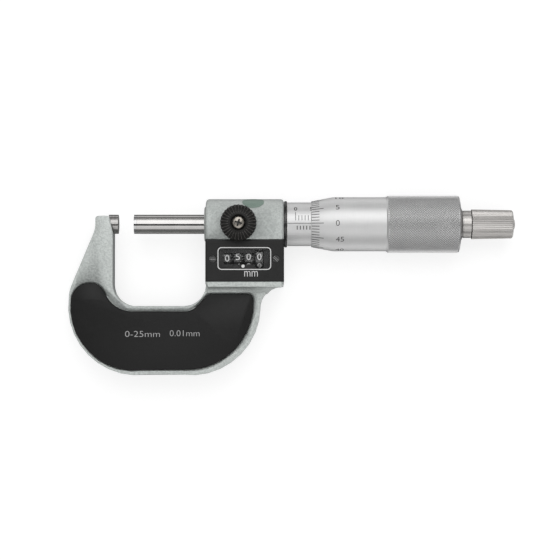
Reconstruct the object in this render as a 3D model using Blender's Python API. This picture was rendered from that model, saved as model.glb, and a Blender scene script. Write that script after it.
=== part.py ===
"""Outside micrometer, 0 to 25 mm, with a mechanical digit counter in its head.

The spindle line is the X axis and the origin is the centre of the anvil's measuring
face. Y points to the head's round top and Z to the viewer, so the micrometer lies on
its back. It is set to a reading of 5.00 mm.
"""

import math

import bmesh
import bpy
from mathutils import Matrix

# Setting and travel
READING = 0.0050
MEASURING_RANGE = 0.0250

# Clearances
SEAT_GAP = 0.0003
SLIDE_GAP = 0.00006
TURN_GAP = 0.0001
BRAZE_GAP = 0.00003
OVER = 0.001

# Frame, seen from the front
FRAME_LEFT = -0.01535
FRAME_BOTTOM = -0.04775
FRAME_STEP_BACK = 0.0076
FRAME_THICKNESS = 0.0090
FRAME_EDGE_RADIUS = 0.0008
OUTER_RADIUS = 0.0241
SHOULDER_RADIUS = 0.0105
BOSS_LEFT = -0.0070
BOSS_TOP = 0.0025
BOSS_FOOT = -0.0016
BOSS_TAPER = 0.0012
BOSS_FOOT_RADIUS = 0.0080
SHOULDER_RISE = 0.00225
THROAT_LEFT = -0.0015
THROAT_FLOOR = -0.0260
THROAT_RADIUS = 0.0069
ARMPIT_RADIUS = 0.0077

# Head of the frame
HEAD_LEFT = 0.0279
HEAD_END_LENGTH = 0.00301
HEAD_RADIUS = 0.0080
HEAD_LEDGE = 0.0016
HEAD_EDGE_RADIUS = 0.0009
NECK_HEIGHT = 0.0022
SPINDLE_BOSS_RADIUS = 0.0058
SPINDLE_BOSS_HEIGHT = 0.0005

# Anvil and spindle
SPINDLE_DIAMETER = 0.0061
TIP_LENGTH = 0.0009
ANVIL_LENGTH = 0.0030
ANVIL_STEM_RADIUS = 0.0018
ANVIL_STEM_LENGTH = 0.0028
THREAD_DIAMETER = 0.0078
THREAD_LENGTH = 0.0340
THREAD_CHAMFER = 0.0005
TAPER_LEAD = 0.0021
TAPER_LENGTH = 0.0050
TAPER_END_RADIUS = 0.0033
KEY_WIDTH = 0.0010
KEYWAY_DEPTH = 0.0006

# Sleeves
ZERO_MARK_FROM_HEAD = 0.0037
COLLAR_STEP = 0.00045
COLLAR_WIDTH = 0.00095
SLEEVE_DIAMETER = 0.0139
SLEEVE_WALL = 0.00055
SLEEVE_END_GAP = 0.0010
INNER_SLEEVE_BORE = 0.0084
NUT_BORE_LENGTH = 0.0120
NUT_THREAD_DIAMETER = 0.0114
NUT_THREAD_LENGTH = 0.0110
NUT_SLIT_WIDTH = 0.0006
TAPER_NUT_DIAMETER = 0.0134
TAPER_NUT_WIDTH = 0.0050
TAPER_NUT_NOTCH = 0.0014

# Thimble
THIMBLE_EDGE_DIAMETER = 0.01454
THIMBLE_BEVEL_LENGTH = 0.0068
THIMBLE_DIAMETER = 0.0172
THIMBLE_PLAIN_LENGTH = 0.0174
KNURL_DIAMETER = 0.01834
KNURL_STEP = 0.0008
KNURL_LENGTH = 0.0217
THIMBLE_CROWN = 0.0013
THIMBLE_CROWN_RADIUS = 0.0049
THIMBLE_BORE = 0.0152
THIMBLE_LIP_LENGTH = 0.0072
THIMBLE_HUB_LENGTH = 0.0062

# Ratchet stop
NECK_DIAMETER = 0.0087
NECK_LENGTH = 0.0024
RATCHET_FLANGE_RADIUS = 0.0041
RATCHET_FLANGE_LENGTH = 0.0027
RATCHET_STUD_RADIUS = 0.0015
RATCHET_STUD_LENGTH = 0.0050
RATCHET_SPIGOT_RADIUS = 0.0019
RATCHET_KNOB_LENGTH = 0.0134
RATCHET_KNOB_DIAMETER = 0.0095
RATCHET_KNOB_END_DIAMETER = 0.0090
RATCHET_KNOB_DOME = 0.0007
RATCHET_KNOB_WALL = 0.0009
RATCHET_END_WALL = 0.0022
FLUTE_COUNT = 48
FLUTE_DEPTH = 0.00016
CLICK_TEETH = 16
CLICK_TOOTH_HEIGHT = 0.0004
CLICK_RING_WIDTH = 0.0012
SPRING_WIRE = 0.0005
SPRING_TURNS = 5
RATCHET_SCREW_RADIUS = 0.0008
RATCHET_SCREW_HEAD_RADIUS = 0.0017
RATCHET_SCREW_HEAD_HEIGHT = 0.0010

# Spindle lock on the front of the head
LOCK_FROM_HEAD = 0.01046
LOCK_KNOB_DIAMETER = 0.01145
LOCK_KNOB_HEIGHT = 0.0037
LOCK_KNOB_CROWN = 0.0005
SERRATION_COUNT = 30
SERRATION_DEPTH = 0.00026
SERRATION_INNER_RADIUS = 0.0029
LOCK_BOSS_RADIUS = 0.0046
LOCK_BOSS_HEIGHT = 0.0004
LOCK_STEM_RADIUS = 0.0020
LOCK_STEM_IN_KNOB = 0.0010
LOCK_COUNTERBORE_RADIUS = 0.00248
LOCK_COUNTERBORE_DEPTH = 0.0015
LOCK_SCREW_RADIUS = 0.00125
LOCK_SCREW_HEAD_RADIUS = 0.00215
LOCK_SCREW_HEAD_HEIGHT = 0.0012
LOCK_SCREW_LENGTH = 0.0042
LOCK_PAD_RADIUS = 0.0016
LOCK_PAD_HEIGHT = 0.0012
CROSS_WIDTH = 0.0005
CROSS_REACH = 0.0010
CROSS_TILT = math.radians(18)

# Counter cover and window
COVER_ABOVE = 0.00547
COVER_BELOW = 0.00783
COVER_DEPTH = 0.0035
COVER_PROUD = 0.0004
COVER_EDGE_RADIUS = 0.0004
WINDOW_LEFT_MARGIN = 0.00295
WINDOW_RIGHT_MARGIN = 0.00361
WINDOW_ABOVE = 0.00302
WINDOW_BELOW = 0.00408
WINDOW_CORNER = 0.0011
WINDOW_THICKNESS = 0.0007
WINDOW_FLOOR = 0.0006
APERTURE_ABOVE = 0.00117
APERTURE_BELOW = 0.00243
LAST_APERTURE_ABOVE = 0.00212
LAST_APERTURE_BELOW = 0.00358
APERTURE_SIDE = 0.0003
COVER_SCREW_RADIUS = 0.00105
COVER_SCREW_HEAD = 0.0009
COVER_SCREW_SHANK_RADIUS = 0.0006
COVER_SCREW_DEPTH = 0.0030
COVER_SCREW_FROM_WINDOW = 0.0016
COVER_SCREW_DROP = 0.0007
LEFT_SCREW_TURN = math.radians(0)
RIGHT_SCREW_TURN = math.radians(-38)
SLOT_WIDTH = 0.0003
SLOT_DEPTH = 0.0004

# Number wheels
WHEEL_NAMES = ("wheel_tens", "wheel_units", "wheel_tenths", "wheel_hundredths")
WHEEL_FROM_HEAD = 0.00685
WHEEL_PITCH = 0.00338
WHEEL_RADIUS = 0.0050
WHEEL_RIM_WIDTH = 0.0022
COUNTER_Y = -0.01057
COUNTER_Z = 0.0016
COUNTER_SHAFT_RADIUS = 0.00075
CARRY_WIDTH = 0.00045
CARRY_DISC_RADIUS = 0.0030
CARRY_LUG_WIDTH = 0.0007
CARRY_GAP = 0.00013

# Gears
PRESSURE_ANGLE = math.radians(25)
BACKLASH = 0.00008
DRIVE_MODULE = 0.0003
DRIVE_TEETH = 35
IDLER_PINION_TEETH = 14
IDLER_WHEEL_TEETH = 26
READ_GEAR_TEETH = 13
TRANSFER_GEAR_TEETH = 20
TRANSFER_PINION_TEETH = 8
ADDENDUM = 0.85
TRANSFER_ADDENDUM = 0.75
DEDENDUM = 1.0
IDLER_ANGLE = math.radians(194.5)
DRIVE_GEAR_WIDTH = 0.0010
READ_GEAR_WIDTH = 0.0007
TRANSFER_GEAR_WIDTH = 0.0006
GEAR_PLANE_GAP = 0.0003
DRIVE_HUB_LENGTH = 0.0015
DRIVE_HUB_RADIUS = 0.0044
DRIVE_BOSS_RADIUS = 0.0036
IDLER_STUD_RADIUS = 0.0006
TRANSFER_SHAFT_RADIUS = 0.0004
TRANSFER_ANGLE = math.radians(240)
BRACKET_SHEET = 0.0006
BRACKET_EAR_MARGIN = 0.0009
BRACKET_SCREW_RADIUS = 0.0006
BRACKET_SCREW_HEAD_RADIUS = 0.0010
BRACKET_SCREW_HEAD = 0.0005
BRACKET_SCREW_DEPTH = 0.0011

# Grip plates
PLATE_THICKNESS = 0.0012
PLATE_RECESS = 0.0004
PLATE_RIM_LEFT = 0.0013
PLATE_RIM_BOTTOM = 0.00165
PLATE_RIM_RIGHT = 0.0020
PLATE_RIM_THROAT = 0.0017
PLATE_END_RISE = 0.00485
PLATE_END_RADIUS = 0.0050
PLATE_LOBE_WIDTH = 0.0043
PLATE_LOBE_RADIUS = 0.0040
PLATE_WAIST_SHIFT = 0.0009
PLATE_WAIST_RADIUS = 0.0090
PLATE_RAMP_FOOT = 0.0026
PLATE_RAMP_HEAD = 0.0025
PLATE_RAMP_RADIUS = 0.0050
PLATE_SHELF_RADIUS = 0.0018
PLATE_CORNER_RADIUS = 0.0016
PLATE_EDGE_RADIUS = 0.0004

# Facets
COARSE = 20
MEDIUM = 32
FINE = 56
ARC_STEP = math.radians(9)

# Values that follow from those above
SPINDLE_RADIUS = SPINDLE_DIAMETER / 2
THREAD_RADIUS = THREAD_DIAMETER / 2
HALF_THICKNESS = FRAME_THICKNESS / 2
COVER_TOP = COUNTER_Y + COVER_ABOVE
COVER_BOTTOM = COUNTER_Y - COVER_BELOW
HEAD_BOTTOM = COVER_BOTTOM - HEAD_LEDGE
SHOULDER_Y = FRAME_BOTTOM + OUTER_RADIUS + SHOULDER_RISE
LOCK_X = HEAD_LEFT + LOCK_FROM_HEAD
COVER_FRONT = HEAD_RADIUS + COVER_PROUD
COVER_BACK = COVER_FRONT - COVER_DEPTH
COVER_SEAT_Z = COVER_BACK - SEAT_GAP
WHEEL_XS = [HEAD_LEFT + WHEEL_FROM_HEAD + WHEEL_PITCH * i for i in range(len(WHEEL_NAMES))]
WINDOW_LEFT = WHEEL_XS[0] - WINDOW_LEFT_MARGIN
WINDOW_RIGHT = WHEEL_XS[-1] + WINDOW_RIGHT_MARGIN
WINDOW_TOP = COUNTER_Y + WINDOW_ABOVE
WINDOW_BOTTOM = COUNTER_Y - WINDOW_BELOW
COVER_SCREWS = {
    "cover_screw_left": (WINDOW_LEFT - COVER_SCREW_FROM_WINDOW, LEFT_SCREW_TURN),
    "cover_screw_right": (WINDOW_RIGHT + COVER_SCREW_FROM_WINDOW, RIGHT_SCREW_TURN),
}
COVER_SCREW_Y = COUNTER_Y - COVER_SCREW_DROP
DRIVE_RADIUS = DRIVE_MODULE * DRIVE_TEETH / 2
FIRST_CENTRES = DRIVE_MODULE * (DRIVE_TEETH + IDLER_PINION_TEETH) / 2
IDLER_Y = FIRST_CENTRES * math.cos(IDLER_ANGLE)
IDLER_Z = FIRST_CENTRES * math.sin(IDLER_ANGLE)
SECOND_CENTRES = math.hypot(COUNTER_Y - IDLER_Y, COUNTER_Z - IDLER_Z)
READ_MODULE = 2 * SECOND_CENTRES / (IDLER_WHEEL_TEETH + READ_GEAR_TEETH)
TRANSFER_CENTRES = WHEEL_RADIUS + TRANSFER_SHAFT_RADIUS + 2 * TURN_GAP
TRANSFER_MODULE = 2 * TRANSFER_CENTRES / (TRANSFER_GEAR_TEETH + TRANSFER_PINION_TEETH)
TRANSFER_Y = COUNTER_Y + TRANSFER_CENTRES * math.cos(TRANSFER_ANGLE)
TRANSFER_Z = COUNTER_Z + TRANSFER_CENTRES * math.sin(TRANSFER_ANGLE)
PINION_TIP = TRANSFER_MODULE * (TRANSFER_PINION_TEETH / 2 + TRANSFER_ADDENDUM)
RIM_HALF = WHEEL_RIM_WIDTH / 2
READ_LEFT = WHEEL_XS[-1] + RIM_HALF + TURN_GAP
READ_RIGHT = READ_LEFT + READ_GEAR_WIDTH
DRIVE_LEFT = READ_RIGHT + GEAR_PLANE_GAP
DRIVE_RIGHT = DRIVE_LEFT + DRIVE_GEAR_WIDTH
RIGHT_EAR = DRIVE_RIGHT + GEAR_PLANE_GAP
LEFT_EAR = WHEEL_XS[0] - RIM_HALF - GEAR_PLANE_GAP - BRACKET_SHEET
HUB_RIGHT = DRIVE_RIGHT + DRIVE_HUB_LENGTH
HEAD_RIGHT = HUB_RIGHT + HEAD_END_LENGTH
FRAME_RIGHT = HEAD_RIGHT - FRAME_STEP_BACK
POCKET_LEFT = READ_LEFT - 2 * TURN_GAP
POCKET_RADIUS = DRIVE_RADIUS + DRIVE_MODULE + TURN_GAP
INNER_SLEEVE_LEFT = HUB_RIGHT + SEAT_GAP
BRACKET_FRONT = TRANSFER_Z - PINION_TIP - 2 * TURN_GAP
BRACKET_BACK = BRACKET_FRONT - BRACKET_SHEET
CAVITY_TOP = COUNTER_Y + WHEEL_RADIUS + SEAT_GAP
CAVITY_BOTTOM = COVER_BOTTOM + 2 * SEAT_GAP
SLEEVE_RADIUS = SLEEVE_DIAMETER / 2
INNER_SLEEVE_RADIUS = SLEEVE_RADIUS - SLEEVE_WALL - SLIDE_GAP
COLLAR_RADIUS = SLEEVE_RADIUS + COLLAR_STEP
COLLAR_LEFT = HEAD_RIGHT + SLIDE_GAP
COLLAR_RIGHT = COLLAR_LEFT + COLLAR_WIDTH
SLEEVE_LEFT = COLLAR_RIGHT + SLIDE_GAP
THIMBLE_LEFT = HEAD_RIGHT + ZERO_MARK_FROM_HEAD + READING
THIMBLE_PLAIN_LEFT = THIMBLE_LEFT + THIMBLE_BEVEL_LENGTH
KNURL_LEFT = THIMBLE_PLAIN_LEFT + THIMBLE_PLAIN_LENGTH
KNURL_RIGHT = KNURL_LEFT + KNURL_STEP + KNURL_LENGTH
THIMBLE_RIGHT = KNURL_RIGHT + THIMBLE_CROWN
HUB_LEFT = THIMBLE_RIGHT - THIMBLE_HUB_LENGTH
INNER_SLEEVE_RIGHT = HUB_LEFT - READING - SLEEVE_END_GAP
SLEEVE_RIGHT = INNER_SLEEVE_RIGHT - NUT_THREAD_LENGTH
TAPER_LEFT = HUB_LEFT - TAPER_LEAD
TAPER_RIGHT = TAPER_LEFT + TAPER_LENGTH
THREAD_LEFT = TAPER_LEFT - THREAD_LENGTH
NECK_LEFT = THIMBLE_RIGHT + SEAT_GAP
NECK_RIGHT = NECK_LEFT + NECK_LENGTH
KNOB_LEFT = NECK_RIGHT + SEAT_GAP
KNOB_RIGHT = KNOB_LEFT + RATCHET_KNOB_LENGTH
KNOB_INNER_RIGHT = KNOB_RIGHT - RATCHET_END_WALL
KNOB_BORE = RATCHET_KNOB_END_DIAMETER / 2 - RATCHET_KNOB_WALL
CLICK_LEFT = KNOB_LEFT + 2 * CLICK_TOOTH_HEIGHT + TURN_GAP
CLICK_RIGHT = CLICK_LEFT + CLICK_RING_WIDTH
LOCK_SEAT_Z = HEAD_RADIUS + LOCK_BOSS_HEIGHT
KNOB_FOOT_Z = LOCK_SEAT_Z + SEAT_GAP
KNOB_TOP_Z = KNOB_FOOT_Z + LOCK_KNOB_HEIGHT
STEM_TOP_Z = KNOB_FOOT_Z + LOCK_STEM_IN_KNOB
PAD_FOOT_Z = SPINDLE_RADIUS + TURN_GAP
PAD_TOP_Z = PAD_FOOT_Z + LOCK_PAD_HEIGHT
STEM_FOOT_Z = PAD_TOP_Z + TURN_GAP


def material(name, colour, metallic, roughness):
    """One Principled material of its own for each piece."""
    made = bpy.data.materials.new(name + "_finish")
    made.use_nodes = True
    shader = made.node_tree.nodes["Principled BSDF"]
    shader.inputs["Base Color"].default_value = (*colour, 1.0)
    shader.inputs["Metallic"].default_value = metallic
    shader.inputs["Roughness"].default_value = roughness
    made.diffuse_color = (*colour, 1.0)
    return made


ENAMEL = ((0.53, 0.56, 0.54), 0.3, 0.45)
BLACK_PLASTIC = ((0.025, 0.026, 0.027), 0.0, 0.5)
BLACK_OXIDE = ((0.03, 0.03, 0.032), 0.8, 0.35)
GROUND_STEEL = ((0.62, 0.61, 0.60), 1.0, 0.2)
SATIN_CHROME = ((0.66, 0.67, 0.67), 1.0, 0.4)
CARBIDE = ((0.33, 0.34, 0.35), 1.0, 0.25)
NICKEL = ((0.55, 0.52, 0.47), 1.0, 0.3)
BRASS = ((0.62, 0.46, 0.2), 1.0, 0.35)
CLEAR = ((0.85, 0.88, 0.88), 0.0, 0.05)
NUMBER_BLACK = ((0.012, 0.012, 0.013), 0.0, 0.45)


def new_object(name, bm, finish=None, location=(0, 0, 0)):
    """Turns a bmesh into an object; with no finish it is a cutter or a helper."""
    bmesh.ops.remove_doubles(bm, verts=bm.verts, dist=1e-7)
    bmesh.ops.recalc_face_normals(bm, faces=bm.faces)
    mesh = bpy.data.meshes.new(name)
    bm.to_mesh(mesh)
    bm.free()
    mesh.shade_smooth()
    mesh.set_sharp_from_angle(angle=math.radians(28))
    made = bpy.data.objects.new(name, mesh)
    made.location = location
    bpy.context.scene.collection.objects.link(made)
    if finish is None:
        made.hide_render = True
        made.display_type = "WIRE"
    else:
        mesh.materials.append(material(name, *finish))
    return made


def combine(target, helpers, operation):
    """Adds one Boolean of all the helpers, gathered in a collection, to the target."""
    group = bpy.data.collections.new(f"{target.name}_{operation.lower()}")
    bpy.context.scene.collection.children.link(group)
    for helper in helpers:
        group.objects.link(helper)
    modifier = target.modifiers.new(group.name, "BOOLEAN")
    modifier.operation = operation
    modifier.solver = "EXACT"
    modifier.operand_type = "COLLECTION"
    modifier.collection = group


def add(target, *helpers):
    combine(target, helpers, "UNION")


def cut(target, *helpers):
    combine(target, helpers, "DIFFERENCE")


def ring_point(radius, angle, height, axis):
    """A point at an angle round the X or the Z axis."""
    a = radius * math.cos(angle)
    b = radius * math.sin(angle)
    return (height, a, b) if axis == "X" else (a, b, height)


def turned(name, profile, finish=None, location=(0, 0, 0), segments=MEDIUM, axis="X"):
    """A lathe-turned solid: (height, radius) points spun round its axis.

    A profile that starts and ends on the axis is a solid bar, and any other is a
    closed loop, which gives a bored piece.
    """
    bm = bmesh.new()
    verts = [bm.verts.new(ring_point(r, 0, h, axis)) for h, r in profile]
    edges = [bm.edges.new(pair) for pair in zip(verts, verts[1:])]
    if profile[0][1] > 0 or profile[-1][1] > 0:
        edges.append(bm.edges.new((verts[-1], verts[0])))
    turn_axis = (1, 0, 0) if axis == "X" else (0, 0, 1)
    bmesh.ops.spin(bm, geom=verts + edges, cent=(0, 0, 0), axis=turn_axis,
                   dvec=(0, 0, 0), angle=math.tau, steps=segments)
    return new_object(name, bm, finish, location)


def prism(bm, outline, low, high, axis="Z"):
    """Extrudes a closed outline between two heights along the X or the Z axis."""
    if axis == "Z":
        verts = [bm.verts.new((a, b, low)) for a, b in outline]
        step = (0, 0, high - low)
    else:
        verts = [bm.verts.new((low, a, b)) for a, b in outline]
        step = (high - low, 0, 0)
    foot = bm.faces.new(verts)
    grown = bmesh.ops.extrude_face_region(bm, geom=[foot])["geom"]
    top = [v for v in grown if isinstance(v, bmesh.types.BMVert)]
    bmesh.ops.translate(bm, verts=top, vec=step)
    return foot, verts, top


def extruded(name, outline, low, high, finish=None, location=(0, 0, 0), axis="Z"):
    """A plain extruded outline as an object."""
    bm = bmesh.new()
    prism(bm, outline, low, high, axis)
    return new_object(name, bm, finish, location)


def block(name, low, high, finish=None, turn=0.0, centre=(0, 0, 0)):
    """A box between two corners, turned about the Z axis through its centre point."""
    bm = bmesh.new()
    outline = [(low[0], low[1]), (high[0], low[1]), (high[0], high[1]), (low[0], high[1])]
    prism(bm, outline, low[2], high[2])
    bmesh.ops.rotate(bm, verts=bm.verts, cent=(0, 0, 0), matrix=Matrix.Rotation(turn, 3, "Z"))
    return new_object(name, bm, finish, centre)


def bevel_rims(bm, radius, segments, axis_index, levels):
    """Rounds the edges that lie in the given levels along one axis."""
    edges = []
    for edge in bm.edges:
        places = [vert.co[axis_index] for vert in edge.verts]
        if any(all(abs(place - level) < 1e-6 for place in places) for level in levels):
            edges.append(edge)
    bmesh.ops.bevel(bm, geom=edges, offset=radius, segments=segments, profile=0.5,
                    affect="EDGES", clamp_overlap=True)


def arc(centre, radius, first, last):
    """Points along an arc from one angle to another."""
    steps = max(2, round(abs(last - first) / ARC_STEP))
    return [(centre[0] + radius * math.cos(first + (last - first) * i / steps),
             centre[1] + radius * math.sin(first + (last - first) * i / steps))
            for i in range(steps + 1)]


def rounded_outline(corners):
    """Outline through (x, y, radius) corners, each rounded by a tangent arc.

    Where two arcs would meet on the wall between them, both radii are cut to fit it.
    """
    count = len(corners)
    shapes = []
    for i, (x, y, radius) in enumerate(corners):
        sides = []
        for other in (corners[i - 1], corners[(i + 1) % count]):
            size = math.hypot(other[0] - x, other[1] - y)
            sides.append(((other[0] - x) / size, (other[1] - y) / size, size))
        (ux, uy, _), (vx, vy, wall) = sides
        opening = math.acos(max(-1.0, min(1.0, ux * vx + uy * vy)))
        shapes.append((opening, max(0.0, radius) / math.tan(opening / 2), wall, sides))
    points = []
    for i, (x, y, radius) in enumerate(corners):
        opening, reach, wall, sides = shapes[i]
        before = shapes[i - 1]
        after = shapes[(i + 1) % count]
        fit = min(1.0, wall / max(reach + after[1], 1e-9), before[2] / max(reach + before[1], 1e-9))
        if radius <= 0:
            points.append((x, y))
            continue
        radius *= fit
        (ux, uy, _), (vx, vy, _) = sides
        start = (x + ux * reach * fit, y + uy * reach * fit)
        middle = (ux + vx, uy + vy)
        scale = radius / math.sin(opening / 2) / math.hypot(*middle)
        centre = (x + middle[0] * scale, y + middle[1] * scale)
        turning = 1 if (ux * vy - uy * vx) < 0 else -1
        first = math.atan2(start[1] - centre[1], start[0] - centre[0])
        points += arc(centre, radius, first, first + turning * (math.pi - opening))
    return points


def gear_outline(teeth, module, addendum, tooth_angle, turns=None):
    """Involute spur gear outline with a tooth centred on tooth_angle."""
    pitch = module * teeth / 2
    base = pitch * math.cos(PRESSURE_ANGLE)
    tip = pitch + module * addendum
    root = pitch - module * DEDENDUM
    half_tooth = math.pi / (2 * teeth) - BACKLASH / (4 * pitch)
    pitch_spread = math.tan(PRESSURE_ANGLE) - PRESSURE_ANGLE
    flank = []
    start = max(base, root)
    if root < base:
        flank.append((root, half_tooth + pitch_spread))
    for step in range(3):
        radius = start + (tip - start) * step / 2
        pressure = math.acos(min(1.0, base / radius))
        flank.append((radius, half_tooth + pitch_spread - math.tan(pressure) + pressure))
    points = []
    for tooth in range(teeth):
        centre = tooth_angle + math.tau * tooth / teeth
        points += [(r, centre - spread) for r, spread in flank]
        points += [(r, centre + spread) for r, spread in reversed(flank)]
    return [(r * math.cos(a), r * math.sin(a)) for r, a in points]


def circle(radius, segments, centre=(0.0, 0.0)):
    return [(centre[0] + radius * math.cos(math.tau * i / segments),
             centre[1] + radius * math.sin(math.tau * i / segments)) for i in range(segments)]


def bar(name, low, high, radius, location, axis="X", segments=COARSE):
    """A plain round cutter."""
    profile = [(low, 0), (low, radius), (high, radius), (high, 0)]
    return turned(name, profile, None, location, segments, axis)


def frame_corners():
    """Front outline of the C frame up to where it runs into the head."""
    inside = SEAT_GAP / 3
    top = HEAD_BOTTOM + 10 * inside
    boss_corner = FRAME_EDGE_RADIUS * 1.2
    round_x = FRAME_RIGHT - OUTER_RADIUS
    round_y = FRAME_BOTTOM + OUTER_RADIUS
    hollow_y = HEAD_BOTTOM + inside - ARMPIT_RADIUS
    reach = OUTER_RADIUS + ARMPIT_RADIUS
    hollow_x = round_x + math.sqrt(reach ** 2 - (hollow_y - round_y) ** 2)
    join = math.atan2(hollow_y - round_y, hollow_x - round_x)
    low_right = [(x, y, 0) for x, y in (arc((round_x, round_y), OUTER_RADIUS, -math.pi / 2, join)
                 + arc((hollow_x, hollow_y), ARMPIT_RADIUS, join + math.pi, math.pi / 2)[1:])]
    return [
        (BOSS_LEFT, BOSS_TOP, boss_corner),
        (BOSS_LEFT, BOSS_FOOT, BOSS_FOOT_RADIUS),
        (FRAME_LEFT, SHOULDER_Y, SHOULDER_RADIUS),
        (FRAME_LEFT, FRAME_BOTTOM, OUTER_RADIUS),
        *low_right,
        (max(low_right[-1][0], HEAD_RIGHT - 3 * inside) + inside / 2, top, 0),
        (HEAD_LEFT + inside, top, 0),
        (HEAD_LEFT + inside, THROAT_FLOOR, THROAT_RADIUS),
        (THROAT_LEFT, THROAT_FLOOR, THROAT_RADIUS),
        (THROAT_LEFT, -SPINDLE_RADIUS, THROAT_RADIUS / 3),
        (THROAT_LEFT - BOSS_TAPER, BOSS_TOP, boss_corner),
    ]


def plate_corners(shrink):
    """Front outline of a grip plate, set inside the frame's edge."""
    left = FRAME_LEFT + PLATE_RIM_LEFT + shrink
    right = FRAME_RIGHT - PLATE_RIM_RIGHT - shrink
    bottom = FRAME_BOTTOM + PLATE_RIM_BOTTOM + shrink
    floor = THROAT_FLOOR - PLATE_RIM_THROAT - shrink
    top = FRAME_BOTTOM + OUTER_RADIUS + PLATE_END_RISE - shrink
    shelf = HEAD_BOTTOM - NECK_HEIGHT - shrink
    throat_left = THROAT_LEFT - shrink
    throat_right = HEAD_LEFT - PLATE_RIM_THROAT + shrink
    low_radius = OUTER_RADIUS - PLATE_RIM_RIGHT - shrink
    return [
        (left, top, PLATE_END_RADIUS - shrink),
        (throat_left - PLATE_LOBE_WIDTH, top, PLATE_LOBE_RADIUS - shrink),
        (throat_left + PLATE_WAIST_SHIFT, floor, PLATE_WAIST_RADIUS),
        (throat_right - PLATE_RAMP_FOOT, floor, PLATE_RAMP_RADIUS),
        (throat_right + PLATE_RAMP_HEAD, shelf, PLATE_SHELF_RADIUS + shrink),
        (right, shelf, PLATE_CORNER_RADIUS - shrink),
        (right, bottom, low_radius),
        (left, bottom, low_radius),
    ]


def head_section():
    """End view of the head: half round on top, flat front and back."""
    steps = 16
    points = []
    for step in range(steps + 1):
        angle = math.pi * (0.5 - step / steps)
        points.append((HEAD_RADIUS * math.cos(angle), HEAD_RADIUS * math.sin(angle)))
    return points + [(HEAD_BOTTOM, -HEAD_RADIUS), (HEAD_BOTTOM, HEAD_RADIUS)]


def wedge(name, top, foot):
    """A tapering block between two (left, right, y, half depth) ends."""
    bm = bmesh.new()
    rings = [[bm.verts.new((x, y, z)) for x, z in
              ((left, -deep), (right, -deep), (right, deep), (left, deep))]
             for left, right, y, deep in (top, foot)]
    for ring in rings:
        bm.faces.new(ring)
    for i in range(4):
        bm.faces.new((rings[0][i - 1], rings[0][i], rings[1][i], rings[1][i - 1]))
    return new_object(name, bm)


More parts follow.
